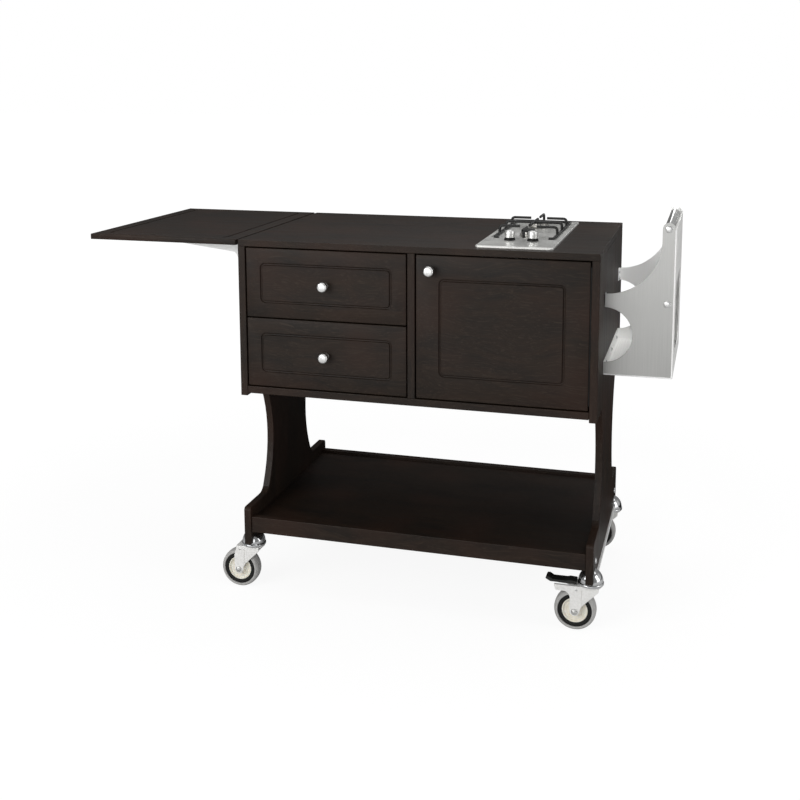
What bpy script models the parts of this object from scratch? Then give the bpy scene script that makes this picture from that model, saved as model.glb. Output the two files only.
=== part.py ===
"""Serving trolley with a built-in two-burner hob, a drop leaf, two drawers, a cupboard and a bottle rack.

The model is built in the cabinet's own coordinates: X runs along the front from the cabinet's middle,
Y runs back from the cabinet's front, Z is up from the floor. The empty "trolley" shifts all of it so that
the world origin is under the middle of the whole object. Sizes are in metres.
"""

import math

import bmesh
import bpy
from mathutils import Matrix, Vector

for old in list(bpy.data.objects):
    bpy.data.objects.remove(old, do_unlink=True)

# Overall cabinet
CABINET_WIDTH = 0.880
CABINET_DEPTH = 0.560
WORKTOP_HEIGHT = 0.912
WORKTOP_THICKNESS = 0.016
PANEL_THICKNESS = 0.018
PANEL_BOTTOM_DROP = 0.392      # from the worktop's surface down to the cabinet sides' lower edge
FOOT_HEIGHT_OVER_FLOOR = 0.128
BOARD_EDGE = 0.0012
FIT_GAP = 0.0003               # left between pieces that touch
OVERRUN = 0.004                # how far a cutter runs past what it cuts

# Legs, cut out of the end panels
FOOT_HEIGHT = 0.098
LEG_SETBACK = 0.115            # from the panel's edge, at the leg's two ends
LEG_WAIST_SETBACK = 0.160      # from the panel's edge, at the leg's middle
LEG_FILLET = 0.014
FOOT_CORNER = 0.008
LEG_ARC_STEPS = 12

# Cabinet inside
FLOOR_LIFT = 0.0065            # cabinet floor's underside over the sides' lower edge
BACK_THICKNESS = 0.006
BACK_SETBACK = 0.004
PARTITION_THICKNESS = 0.018

# Fronts
FRONT_GAP = 0.003
FRONT_THICKNESS = 0.018
FRONT_RECESS = 0.001
FRONT_EDGE = 0.0015
DRAWER_GROOVE_INSET = 0.039
DOOR_GROOVE_INSET = 0.058
GROOVE_WIDTH = 0.0035
GROOVE_DEPTH = 0.0018
GROOVE_CORNER = 0.010
KNOB_RADIUS = 0.0125
KNOB_REACH = 0.026
KNOB_NECK_RADIUS = 0.0055
KNOB_BASE_RADIUS = 0.0085
KNOB_NECK_SHARES = (0.16, 0.34)   # where the neck starts and ends along the reach
DOOR_KNOB_INSET = 0.035

# Drawers
DRAWER_DEPTH = 0.490
DRAWER_WALL = 0.012
DRAWER_BOTTOM = 0.006
DRAWER_BOX_DROP = 0.030        # box rim under the front's upper edge
DRAWER_BOX_LIFT = 0.016        # box underside over the front's lower edge
RUNNER_LEG = 0.012
RUNNER_METAL = 0.0015
RUNNER_HEIGHT = 0.034
RUNNER_FRONT_SETBACK = 0.004

# Door hinge
HINGE_LEAF_METAL = 0.0008
HINGE_LEAF_DEPTH = 0.014
HINGE_END_MARGIN = 0.012

# Lower shelf
SHELF_RAIL_HEIGHT = 0.041
SHELF_RAIL_LIFT = 0.032        # rail underside over the foot's underside
SHELF_RAIL_THICKNESS = 0.018
SHELF_RAIL_SETBACK = 0.004
SHELF_RECESS = 0.009           # shelf surface under the rails' upper edges
SHELF_THICKNESS = 0.018

# Drop leaf and its two folding brackets
LEAF_REACH = 0.400
LEAF_THICKNESS = 0.014
LEAF_JOINT = 0.006
LEAF_GROOVE_INSET_LONG = 0.038
LEAF_GROOVE_INSET_END = 0.030
BRACKET_INSET = 0.080          # bracket's middle from the worktop's front and back edges
LEAF_PIVOT_OUT = 0.014         # leaf pivot out of the end panel's face
LEAF_PIVOT_DROP = 0.018        # leaf pivot under the leaf
ARM_LENGTH = 0.185
ARM_WIDTH = 0.014
ARM_METAL = 0.0025
ARM_ROOT_DROP = 0.009          # arm's lower edge under the pivot at its root
ARM_TIP_DEPTH = 0.010
ARM_ROOT_OVERHANG = 0.004
ARM_FLANGE_WIDTH = 0.030
WALL_PLATE_METAL = 0.0027
WALL_PLATE_TOP = 0.011
WALL_PLATE_DROP = 0.112
WALL_PLATE_FLANGE = 0.018
WALL_PLATE_CLEARANCE = 0.003
PIVOT_PIN_RADIUS = 0.0025
PIN_CLEARANCE = 0.0004
STAY_PIN_OUT = 0.028           # stay pivot out of the leaf pivot
STAY_PIN_DROP = 0.002
STAY_LENGTH = 0.062
STAY_FOOT_OUT = 0.0045         # stay's foot in from the leaf pivot, towards the panel
STAY_HALF_WIDTH = 0.0045
STAY_METAL = 0.005
STAY_PIN_RADIUS = 0.0018
STAY_ROLLER_RADIUS = 0.0030
STAY_ROLLER_LENGTH = 0.013

# Bottle rack of folded stainless sheet, on the right end panel
RACK_REACH = 0.160
RACK_METAL = 0.002
RACK_FRONT_SETBACK = 0.110
RACK_BACK_SETBACK = 0.080
RACK_RISE = 0.062              # top of the cheeks over the worktop
RACK_DROP = 0.305              # underside under the worktop
RACK_SCOOP_RADIUS = 0.128
RACK_SCOOP_RISE = 0.018        # centre of the big scoop over the worktop
RACK_TAB = 0.032               # height of the upper fixing tab
RACK_BITE_RADIUS = 0.066
RACK_TAB_FLANGE = 0.022
RAIL_RADIUS = 0.0115
RACK_WINDOW_SIDE = 0.060
RACK_WINDOW_TOP = 0.150        # window's upper edge under the plate's upper edge
RACK_WINDOW_HEIGHT = 0.180
RACK_WINDOW_CORNER = 0.018
RACK_ARC_STEPS = 12

# Hob let into the worktop
HOB_WIDTH = 0.184
HOB_CENTRE_X = 0.238
HOB_FRONT_SETBACK = 0.027
HOB_BACK_SETBACK = 0.053
HOB_RIM_HEIGHT = 0.005
HOB_RIM_EDGE = 0.0022
HOB_LIP = 0.012                # rim that rests on the worktop round the cut-out
HOB_SKIRT_DEPTH = 0.042        # burner box under the worktop's surface
HOB_METAL = 0.0012
HOB_CUT_CLEARANCE = 0.0008
HOB_WELL_INSET = 0.011
HOB_WELL_DEPTH = 0.0025
HOB_WELL_FRONT = 0.128         # from the hob's front edge to the sunk burner field
BURNER_RADII = (0.021, 0.027)
BURNER_SETBACK_SHARES = (0.425, 0.775)
BURNER_BASE_HEIGHT = 0.010
BURNER_THROAT_SHARE = 0.55
BURNER_THROAT_DEPTH = 0.024
BURNER_CAP_HEIGHT = 0.006
BURNER_CAP_SHARES = ((0, 0), (0.9, 0), (1, 0.3), (0.95, 0.8), (0.8, 1), (0, 1))
HOB_KNOB_RADIUS = 0.0125
HOB_KNOB_HEIGHT = 0.021
HOB_KNOB_SHARES = ((0, 0), (1, 0), (0.98, 0.35), (0.90, 0.80), (0.82, 0.94), (0.60, 1), (0, 1))
HOB_GRIP_DEPTH_SHARE = 0.45    # of the knob's height, cut away on both sides of its grip
HOB_GRIP_LENGTH_SHARE = 0.8
HOB_KNOB_GRIP = 0.0085
HOB_KNOB_SETBACK_SHARE = 0.215
HOB_KNOB_SPACING = 0.056
HOB_COLLAR_RADIUS = 0.0130
HOB_COLLAR_HEIGHT = 0.0025
HOB_PUSH = 0.0035
STEM_RADIUS = 0.003
STEM_LENGTH = 0.024
GRID_BAR = 0.0055
GRID_RISE = 0.024              # pan support's top over the hob's surface
GRID_SIDE_INSET = 0.017
GRID_FRONT_INSET = 0.128
GRID_BACK_INSET = 0.020
GRID_FINGER_CLEARANCE = 0.001
GRID_WELD_STEP = 0.0003         # each welded bar is this much slimmer than the one that carries it

# Casters
WHEEL_RADIUS = 0.050
WHEEL_WIDTH = 0.034
TYRE_THICKNESS = 0.0095
CASTER_TRAIL = 0.035
CASTER_SETBACK = 0.038         # swivel axis from the panel's front and back edges
DOME_RADIUS = 0.031
DOME_RISE = 0.028              # dome's top over the foot's underside
DOME_DROP = 0.014              # dome's base under the foot's underside
DOME_SHARES = ((0, 0), (0.80, 0), (1, 0.11), (1, 0.22), (0.91, 0.55), (0.64, 0.82), (0.31, 0.96), (0, 1))
FORK_METAL = 0.0025
FORK_GAP = 0.0025              # between the wheel's hub and a fork leg
FORK_CROWN_RADIUS = 0.026
FORK_CROWN_METAL = 0.0035
FORK_LEG_END = 0.013
FORK_SHIN_SHARE = 1.4          # of the leg's end, from the axle to the leg's front edge above it
FORK_NOSE_SHARE = 0.8          # of the crown's radius
HUB_BOSS_RADIUS = 0.012
RIM_WIDTH_SHARE = 0.86
RIM_SHARES = ((0.38, 0.45), (0.82, 0.45), (0.88, RIM_WIDTH_SHARE), (1, RIM_WIDTH_SHARE))
TYRE_SHARES = ((0.88, 1), (0.95, 0.86), (0.99, 0.55), (1, 0.25))
AXLE_RADIUS = 0.004
AXLE_CLEARANCE = 0.0004
AXLE_HEAD_RADIUS = 0.0075
AXLE_HEAD_HEIGHT = 0.004
PEDAL_LENGTH = 0.084
PEDAL_EAR = 0.010
PEDAL_THICKNESS = 0.009
PEDAL_TIP_RISE = 0.003
PEDAL_TIP_LENGTH = 0.018
PEDAL_CLEARANCE = 0.0012
ROUND_STEPS = 24
SMALL_ROUND_STEPS = 16

# Heights and places that follow from the sizes above
worktop_under = WORKTOP_HEIGHT - WORKTOP_THICKNESS
foot_bottom = FOOT_HEIGHT_OVER_FLOOR
foot_top = foot_bottom + FOOT_HEIGHT
sides_bottom = WORKTOP_HEIGHT - PANEL_BOTTOM_DROP
half_width = CABINET_WIDTH / 2
inner_half = half_width - PANEL_THICKNESS
floor_under = sides_bottom + FLOOR_LIFT
floor_top = floor_under + PANEL_THICKNESS
half_partition = PARTITION_THICKNESS / 2
back_face = CABINET_DEPTH - BACK_SETBACK - BACK_THICKNESS
hob_depth = CABINET_DEPTH - HOB_FRONT_SETBACK - HOB_BACK_SETBACK
leaf_outer = -half_width - LEAF_JOINT - LEAF_REACH
rack_outer = half_width + RACK_REACH
knob_front = FRONT_RECESS - KNOB_REACH
centre_x = (leaf_outer + rack_outer) / 2
centre_y = (CABINET_DEPTH + knob_front) / 2

parts = bpy.data.collections.new("flambe_trolley")
cutters = bpy.data.collections.new("cutters")
for group in (parts, cutters):
    bpy.context.scene.collection.children.link(group)


def finish(name, red, green, blue, roughness, metallic=0.0):
    material = bpy.data.materials.new(name)
    material.use_nodes = True
    shader = material.node_tree.nodes["Principled BSDF"]
    shader.inputs["Base Color"].default_value = (red, green, blue, 1.0)
    shader.inputs["Roughness"].default_value = roughness
    shader.inputs["Metallic"].default_value = metallic
    return material


TONES = {
    "dark_wood": (0.028, 0.022, 0.020, 0.45, 0.0),
    "drawer_wood": (0.45, 0.36, 0.26, 0.60, 0.0),
    "brushed_steel": (0.52, 0.52, 0.51, 0.32, 1.0),
    "polished_steel": (0.72, 0.72, 0.72, 0.10, 1.0),
    "zinc_steel": (0.74, 0.74, 0.72, 0.35, 1.0),
    "white_steel": (0.70, 0.70, 0.69, 0.45, 0.0),
    "black_enamel": (0.012, 0.012, 0.012, 0.30, 0.0),
    "black_plastic": (0.015, 0.015, 0.016, 0.45, 0.0),
    "burner_alloy": (0.50, 0.49, 0.47, 0.45, 1.0),
    "grey_rubber": (0.36, 0.36, 0.37, 0.80, 0.0),
    "cream_plastic": (0.72, 0.68, 0.58, 0.50, 0.0),
}


def own_material(name, tone):
    red, green, blue, roughness, metallic = TONES[tone]
    return finish(name + "_" + tone, red, green, blue, roughness, metallic)


def pivot(name, at, home=None):
    empty = bpy.data.objects.new(name, None)
    parts.objects.link(empty)
    empty.parent = home
    empty.location = at
    return empty


def add_mesh(name, mesh, home, tone, location=(0, 0, 0)):
    piece = bpy.data.objects.new(name, mesh)
    (parts if tone else cutters).objects.link(piece)
    piece.parent = home
    piece.location = location
    if tone:
        mesh.materials.clear()
        mesh.materials.append(own_material(name, tone))
    else:
        piece.hide_render = True
        piece.display_type = "WIRE"
    return piece


def block(name, home, low, high, tone, edge=0):
    """A board or bar between two corners given in its home's coordinates."""
    low, high = Vector(low), Vector(high)
    shape = bmesh.new()
    bmesh.ops.create_cube(shape, size=1)
    bmesh.ops.scale(shape, vec=high - low, verts=shape.verts)
    mesh = bpy.data.meshes.new(name)
    shape.to_mesh(mesh)
    shape.free()
    piece = add_mesh(name, mesh, home, tone, (low + high) / 2)
    if edge:
        round_over = piece.modifiers.new("round_edges", "BEVEL")
        round_over.width = edge
        round_over.segments = 2
        round_over.limit_method = "ANGLE"
    return piece


def turned(name, home, profile, tone, at=(0, 0, 0), axis=(0, 0, 1), steps=ROUND_STEPS):
    """A turned piece from (radius, height) points, bottom to top, with its base at a place along an axis."""
    mesh = bpy.data.meshes.new(name)
    shape = bmesh.new()
    points = [shape.verts.new((radius, 0, height)) for radius, height in reversed(profile)]
    for first, second in zip(points, points[1:]):
        shape.edges.new((first, second))
    shape.to_mesh(mesh)
    shape.free()
    piece = add_mesh(name, mesh, home, tone, at)
    piece.rotation_euler = Vector((0, 0, 1)).rotation_difference(Vector(axis)).to_euler()
    screw = piece.modifiers.new("turn", "SCREW")
    screw.axis = "Z"
    screw.steps = steps
    screw.render_steps = steps
    screw.use_merge_vertices = True
    screw.merge_threshold = FIT_GAP / 10
    return piece


def outline(name, home, loops, thickness, plane, at, tone, edge=0):
    """A flat sheet with the given loops; plane names the axis across it, and at is its middle there."""
    curve = bpy.data.curves.new(name, "CURVE")
    curve.dimensions = "2D"
    curve.fill_mode = "BOTH"
    curve.extrude = thickness / 2 - edge
    curve.bevel_depth = edge
    curve.bevel_resolution = 1
    curve.offset = -edge
    for loop in loops:
        spline = curve.splines.new("POLY")
        spline.points.add(len(loop) - 1)
        for point, place in zip(spline.points, loop):
            point.co = (place[0], place[1], 0, 1)
        spline.use_cyclic_u = True
    turns = {
        "X": Matrix(((0, 0, 1), (1, 0, 0), (0, 1, 0))),
        "Y": Matrix(((1, 0, 0), (0, 0, -1), (0, 1, 0))),
        "Z": Matrix.Identity(3),
    }
    drawn = bpy.data.objects.new(name + "_drawn", curve)
    cutters.objects.link(drawn)
    solid = bpy.data.meshes.new_from_object(drawn.evaluated_get(bpy.context.evaluated_depsgraph_get()))
    bpy.data.objects.remove(drawn)
    shape = bmesh.new()
    shape.from_mesh(solid)
    bmesh.ops.remove_doubles(shape, verts=shape.verts, dist=FIT_GAP / 10)
    bmesh.ops.transform(shape, matrix=turns[plane].to_4x4(), verts=shape.verts)
    bmesh.ops.recalc_face_normals(shape, faces=shape.faces)
    shape.to_mesh(solid)
    shape.free()
    middle = {"X": (at, 0, 0), "Y": (0, at, 0), "Z": (0, 0, at)}[plane]
    return add_mesh(name, solid, home, tone, middle)


def arc(centre, radius, start, end, steps):
    """Points of an arc between two angles in degrees, both ends included."""
    angles = [math.radians(start + (end - start) * step / steps) for step in range(steps + 1)]
    return [(centre[0] + radius * math.cos(a), centre[1] + radius * math.sin(a)) for a in angles]


def rounded_rectangle(low, high, corner, steps=3):
    spots = (
        ((high[0] - corner, low[1] + corner), -90),
        ((high[0] - corner, high[1] - corner), 0),
        ((low[0] + corner, high[1] - corner), 90),
        ((low[0] + corner, low[1] + corner), 180),
    )
    return [point for spot, start in spots for point in arc(spot, corner, start, start + 90, steps)]


def boolean(piece, tool, operation="DIFFERENCE"):
    step = piece.modifiers.new(operation.lower(), "BOOLEAN")
    step.operation = operation
    step.object = tool
    return piece


def join(piece, *others):
    for other in others:
        boolean(piece, other, "UNION")
    return piece


def cylinder(name, home, radius, length, at, axis, tone=None, steps=SMALL_ROUND_STEPS):
    """A plain round bar or cutter whose middle is at a place, along an axis."""
    profile = [(0, -length / 2), (radius, -length / 2), (radius, length / 2), (0, length / 2)]
    return turned(name, home, profile, tone, at, axis, steps)


def groove_cutter(name, home, low, high, plane, at):
    """A ring that cuts a routed groove, as deep as half its thickness."""
    outer = rounded_rectangle(low, high, GROOVE_CORNER)
    inner_low = (low[0] + GROOVE_WIDTH, low[1] + GROOVE_WIDTH)
    inner_high = (high[0] - GROOVE_WIDTH, high[1] - GROOVE_WIDTH)
    inner = rounded_rectangle(inner_low, inner_high, GROOVE_CORNER - GROOVE_WIDTH)
    return outline(name, home, (outer, inner), GROOVE_DEPTH * 2, plane, at, None)


trolley = pivot("trolley", (-centre_x, -centre_y, 0))


def make_end_panel(name, side):
    """Cabinet side, leg and foot in one board; side is -1 on the left and 1 on the right."""
    half_chord = (sides_bottom - foot_top) / 2
    bow = LEG_WAIST_SETBACK - LEG_SETBACK
    radius = (half_chord ** 2 + bow ** 2) / (2 * bow)
    spread = math.degrees(math.asin(half_chord / radius))
    middle = (foot_top + sides_bottom) / 2
    centre = (LEG_WAIST_SETBACK - radius, middle)
    front_edge = arc(centre, radius, -spread, spread, LEG_ARC_STEPS)
    corner = arc((FOOT_CORNER, foot_top - FOOT_CORNER), FOOT_CORNER, 180, 90, 3)
    slope = math.radians(90 - spread)
    toe = (front_edge[0][0] - LEG_FILLET, foot_top)
    heel = (front_edge[0][0] + LEG_FILLET * math.cos(slope), foot_top + LEG_FILLET * math.sin(slope))
    hollow = [(toe[0] + (heel[0] - toe[0]) * share, toe[1] + (heel[1] - toe[1]) * share ** 2)
              for share in (0, 0.25, 0.5, 0.75)]
    climb = [point for point in front_edge if point[1] > heel[1]]
    front = [(0, foot_bottom)] + corner + hollow + [heel] + climb
    front += [(0, sides_bottom), (0, worktop_under - FIT_GAP)]
    back = [(CABINET_DEPTH - y, z) for y, z in reversed(front)]
    at = side * (half_width - PANEL_THICKNESS / 2)
    return outline(name, trolley, (front + back,), PANEL_THICKNESS, "X", at, "dark_wood", BOARD_EDGE)


def make_cabinet():
    worktop = block("worktop", trolley, (-half_width, 0, worktop_under),
                    (half_width, CABINET_DEPTH, WORKTOP_HEIGHT),
                    "dark_wood", BOARD_EDGE)
    cut_low = (HOB_CENTRE_X - HOB_WIDTH / 2 + HOB_LIP, HOB_FRONT_SETBACK + HOB_LIP, worktop_under - OVERRUN)
    cut_high = (HOB_CENTRE_X + HOB_WIDTH / 2 - HOB_LIP, HOB_FRONT_SETBACK + hob_depth - HOB_LIP,
                WORKTOP_HEIGHT + OVERRUN)
    boolean(worktop, block("hob_cut_out", trolley, cut_low, cut_high, None))
    make_end_panel("end_panel_left", -1)
    make_end_panel("end_panel_right", 1)
    reach = inner_half - FIT_GAP
    block("cabinet_floor", trolley, (-reach, 0, floor_under), (reach, back_face - FIT_GAP, floor_top),
          "dark_wood", BOARD_EDGE)
    block("centre_partition", trolley, (-half_partition, 0, floor_top + FIT_GAP),
          (half_partition, back_face - FIT_GAP, worktop_under - FIT_GAP), "dark_wood", BOARD_EDGE)
    block("back_panel", trolley, (-reach, back_face, floor_under),
          (reach, back_face + BACK_THICKNESS, worktop_under - FIT_GAP),
          "dark_wood")


def make_lower_shelf():
    rail_low = foot_bottom + SHELF_RAIL_LIFT
    rail_high = rail_low + SHELF_RAIL_HEIGHT
    reach = inner_half - FIT_GAP
    front = SHELF_RAIL_SETBACK + SHELF_RAIL_THICKNESS
    back = CABINET_DEPTH - front
    block("shelf_front_rail", trolley, (-reach, SHELF_RAIL_SETBACK, rail_low), (reach, front, rail_high),
          "dark_wood", BOARD_EDGE)
    block("shelf_rear_rail", trolley, (-reach, back, rail_low),
          (reach, back + SHELF_RAIL_THICKNESS, rail_high),
          "dark_wood", BOARD_EDGE)
    surface = rail_high - SHELF_RECESS
    block("lower_shelf", trolley, (-reach, front + FIT_GAP, surface - SHELF_THICKNESS),
          (reach, back - FIT_GAP, surface), "dark_wood")


def make_knob(name, home, at):
    """A polished mushroom knob whose base sits at a place on a front; it reaches out along -Y."""
    neck = [KNOB_REACH * share for share in KNOB_NECK_SHARES]
    profile = [(0, 0), (KNOB_BASE_RADIUS, 0), (KNOB_NECK_RADIUS, neck[0]), (KNOB_NECK_RADIUS, neck[1])]
    head = KNOB_REACH - KNOB_RADIUS
    rounded = [(KNOB_RADIUS * math.cos(math.radians(a)), head + KNOB_RADIUS * math.sin(math.radians(a)))
               for a in (-35, -5, 25, 50, 70, 90)]
    rounded[-1] = (0, KNOB_REACH)
    return turned(name, home, profile + rounded, "polished_steel", at, (0, -1, 0), SMALL_ROUND_STEPS)


front_low = floor_top + FRONT_GAP
front_high = worktop_under - FRONT_GAP
drawer_height = (front_high - front_low - FRONT_GAP) / 2
front_inner = half_partition + FRONT_GAP
front_outer = inner_half - FRONT_GAP
front_back = FRONT_RECESS + FRONT_THICKNESS


def make_drawer(level, low):
    """Front, box, knob and the two fixed runners; everything that slides hangs from one empty."""
    high = low + drawer_height
    middle = Vector((-(front_inner + front_outer) / 2, FRONT_RECESS, (low + high) / 2))
    slide = pivot(level + "_drawer", middle, trolley)
    half = (front_outer - front_inner) / 2
    tall = drawer_height / 2
    front = block(level + "_drawer_front", slide, (-half, 0, -tall), (half, FRONT_THICKNESS, tall),
                  "dark_wood", FRONT_EDGE)
    inset = DRAWER_GROOVE_INSET
    boolean(front, groove_cutter(level + "_drawer_groove", slide, (-half + inset, -tall + inset),
                                 (half - inset, tall - inset), "Y", 0))
    make_knob(level + "_drawer_knob", slide, (0, -FIT_GAP, 0))

    bay = inner_half - half_partition
    box_half = bay / 2 - RUNNER_LEG
    shift = -(inner_half + half_partition) / 2 - middle.x
    box_low = DRAWER_BOX_LIFT - tall
    box_high = tall - DRAWER_BOX_DROP
    box_front = FRONT_THICKNESS + FIT_GAP
    box = block(level + "_drawer_box", slide, (shift - box_half, box_front, box_low),
                (shift + box_half, box_front + DRAWER_DEPTH, box_high), "drawer_wood")
    hollow = block(level + "_drawer_hollow", slide,
                   (shift - box_half + DRAWER_WALL, box_front + DRAWER_WALL, box_low + DRAWER_BOTTOM),
                   (shift + box_half - DRAWER_WALL, box_front + DRAWER_DEPTH - DRAWER_WALL,
                    box_high + OVERRUN), None)
    boolean(box, hollow)

    # An angle runner on each side: its upright is fixed to the board, the drawer rides on its ledge.
    ledge = middle.z + box_low - FIT_GAP
    for side, wall, sign in (("left", -inner_half, 1), ("right", -half_partition, -1)):
        steps = (
            (FIT_GAP, -RUNNER_METAL), (RUNNER_LEG * 2, -RUNNER_METAL), (RUNNER_LEG * 2, 0),
            (RUNNER_METAL + FIT_GAP, 0), (RUNNER_METAL + FIT_GAP, RUNNER_HEIGHT), (FIT_GAP, RUNNER_HEIGHT),
        )
        loop = [(wall + sign * x, ledge + z) for x, z in steps]
        start = front_back + RUNNER_FRONT_SETBACK
        outline(level + "_runner_" + side, trolley, (loop,), DRAWER_DEPTH, "Y", start + DRAWER_DEPTH / 2,
                "zinc_steel")


def make_door():
    """The door hangs from a long pin hinge in the gap at its right edge."""
    hinge_back = FRONT_RECESS + FRONT_EDGE / 2
    axis = pivot("door_hinge_axis", (inner_half - FRONT_GAP / 2, hinge_back, (front_low + front_high) / 2),
                 trolley)
    face = FRONT_RECESS - hinge_back
    near = -FRONT_GAP / 2
    far = near - (front_outer - front_inner)
    tall = (front_high - front_low) / 2
    door = block("door_panel", axis, (far, face, -tall), (near, face + FRONT_THICKNESS, tall), "dark_wood",
                 FRONT_EDGE)
    inset = DOOR_GROOVE_INSET
    boolean(door, groove_cutter("door_groove", axis, (far + inset, -tall + inset),
                                (near - inset, tall - inset), "Y", face))
    make_knob("door_knob", axis, (far + DOOR_KNOB_INSET, face - FIT_GAP, tall - DOOR_KNOB_INSET))
    long = tall - HINGE_END_MARGIN
    radius = FRONT_GAP / 2 - FIT_GAP
    barrel = cylinder("door_hinge", axis, radius, long * 2, (0, 0, 0), (0, 0, 1), "black_enamel")
    wall = radius - FIT_GAP / 3
    leaf_half = long - HINGE_LEAF_METAL
    leaf = block("door_hinge_leaf", axis, (wall - HINGE_LEAF_METAL, -radius / 3, -leaf_half),
                 (wall, HINGE_LEAF_DEPTH, leaf_half), None)
    join(barrel, leaf)


def make_leaf():
    """Drop leaf, its two folding arms, the wall plates they turn in and the stays that prop them."""
    turn = pivot("leaf_pivot", (-half_width - LEAF_PIVOT_OUT, 0, worktop_under - LEAF_PIVOT_DROP), trolley)
    inner = LEAF_PIVOT_OUT - LEAF_JOINT
    leaf_under = LEAF_PIVOT_DROP + WORKTOP_THICKNESS - LEAF_THICKNESS
    leaf_top = leaf_under + LEAF_THICKNESS
    leaf = block("leaf_panel", turn, (inner - LEAF_REACH, 0, leaf_under), (inner, CABINET_DEPTH, leaf_top),
                 "dark_wood", BOARD_EDGE)
    groove_low = (inner - LEAF_REACH + LEAF_GROOVE_INSET_LONG, LEAF_GROOVE_INSET_END)
    groove_high = (inner - LEAF_GROOVE_INSET_LONG, CABINET_DEPTH - LEAF_GROOVE_INSET_END)
    boolean(leaf, groove_cutter("leaf_groove", turn, groove_low, groove_high, "Z", leaf_top))

    stay_turn = pivot("stay_pivot", (-STAY_PIN_OUT, 0, -STAY_PIN_DROP), turn)
    under = leaf_under - FIT_GAP
    tip = ARM_ROOT_OVERHANG - ARM_LENGTH
    for end, y in (("front", BRACKET_INSET), ("rear", CABINET_DEPTH - BRACKET_INSET)):
        # Arm: a folded channel open below, with a fixing flange under the leaf
        sides = [(ARM_ROOT_OVERHANG, under), (ARM_ROOT_OVERHANG, -ARM_ROOT_DROP),
                 (-STAY_PIN_OUT, -ARM_ROOT_DROP),
                 (tip, under - ARM_TIP_DEPTH), (tip, under)]
        arm = outline("bracket_arm_" + end, turn, (sides,), ARM_WIDTH, "Y", y, "white_steel")
        half_flange = ARM_FLANGE_WIDTH / 2
        flange = block("arm_flange_" + end, turn, (tip, y - half_flange, under - ARM_METAL),
                       (-ARM_METAL, y + half_flange, under), None)
        web = ARM_WIDTH / 2 - ARM_METAL
        hollow = block("arm_hollow_" + end, turn, (tip + ARM_METAL, y - web, -ARM_ROOT_DROP - OVERRUN),
                       (ARM_ROOT_OVERHANG + OVERRUN, y + web, under - ARM_METAL), None)
        pin_hole = cylinder("arm_hole_" + end, turn, PIVOT_PIN_RADIUS + PIN_CLEARANCE, ARM_WIDTH + OVERRUN,
                            (0, y, 0), (0, 1, 0))
        stay_pin = cylinder("arm_pin_" + end, turn, STAY_PIN_RADIUS, ARM_WIDTH - ARM_METAL,
                            (-STAY_PIN_OUT, y, -STAY_PIN_DROP), (0, 1, 0))
        join(arm, flange)
        boolean(arm, hollow)
        boolean(arm, pin_hole)
        join(arm, stay_pin)

        # Wall plate: a channel screwed to the end panel, carrying the pivot pin across its flanges
        base_out = LEAF_PIVOT_OUT - FIT_GAP
        outer = ARM_WIDTH / 2 + WALL_PLATE_CLEARANCE + WALL_PLATE_METAL
        face = base_out - WALL_PLATE_FLANGE
        plate = block("bracket_plate_" + end, trolley,
                      (turn.location.x + face, y - outer, turn.location.z - WALL_PLATE_DROP),
                      (turn.location.x + base_out, y + outer,
                       turn.location.z + WALL_PLATE_TOP), "white_steel")
        inside = outer - WALL_PLATE_METAL
        channel = block("plate_channel_" + end, trolley,
                        (turn.location.x + face - OVERRUN, y - inside,
                         turn.location.z - WALL_PLATE_DROP - OVERRUN),
                        (turn.location.x + base_out - WALL_PLATE_METAL, y + inside,
                         turn.location.z + WALL_PLATE_TOP + OVERRUN), None)
        pin = cylinder("plate_pin_" + end, trolley, PIVOT_PIN_RADIUS, outer * 2 - WALL_PLATE_METAL,
                       (turn.location.x, y, turn.location.z), (0, 1, 0))
        boolean(plate, channel)
        join(plate, pin)

        # Stay: a flat bar hung on the arm's pin, with a roller at its foot inside the wall plate
        lean = math.acos((STAY_PIN_OUT + STAY_FOOT_OUT) / STAY_LENGTH)
        foot = (STAY_LENGTH * math.cos(lean), -STAY_LENGTH * math.sin(lean))
        tilt = math.degrees(lean)
        bar = arc((0, 0), STAY_HALF_WIDTH, 90 - tilt, 270 - tilt, 6)
        bar += arc(foot, STAY_HALF_WIDTH, 270 - tilt, 450 - tilt, 6)
        eye = arc((0, 0), STAY_PIN_RADIUS + PIN_CLEARANCE, 0, 330, 11)
        stay = outline("bracket_stay_" + end, stay_turn, (bar, eye), STAY_METAL, "Y", y, "white_steel")
        roller = cylinder("stay_roller_" + end, stay_turn, STAY_ROLLER_RADIUS, STAY_ROLLER_LENGTH,
                          (foot[0], y, foot[1]), (0, 1, 0))
        join(stay, roller)


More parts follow.
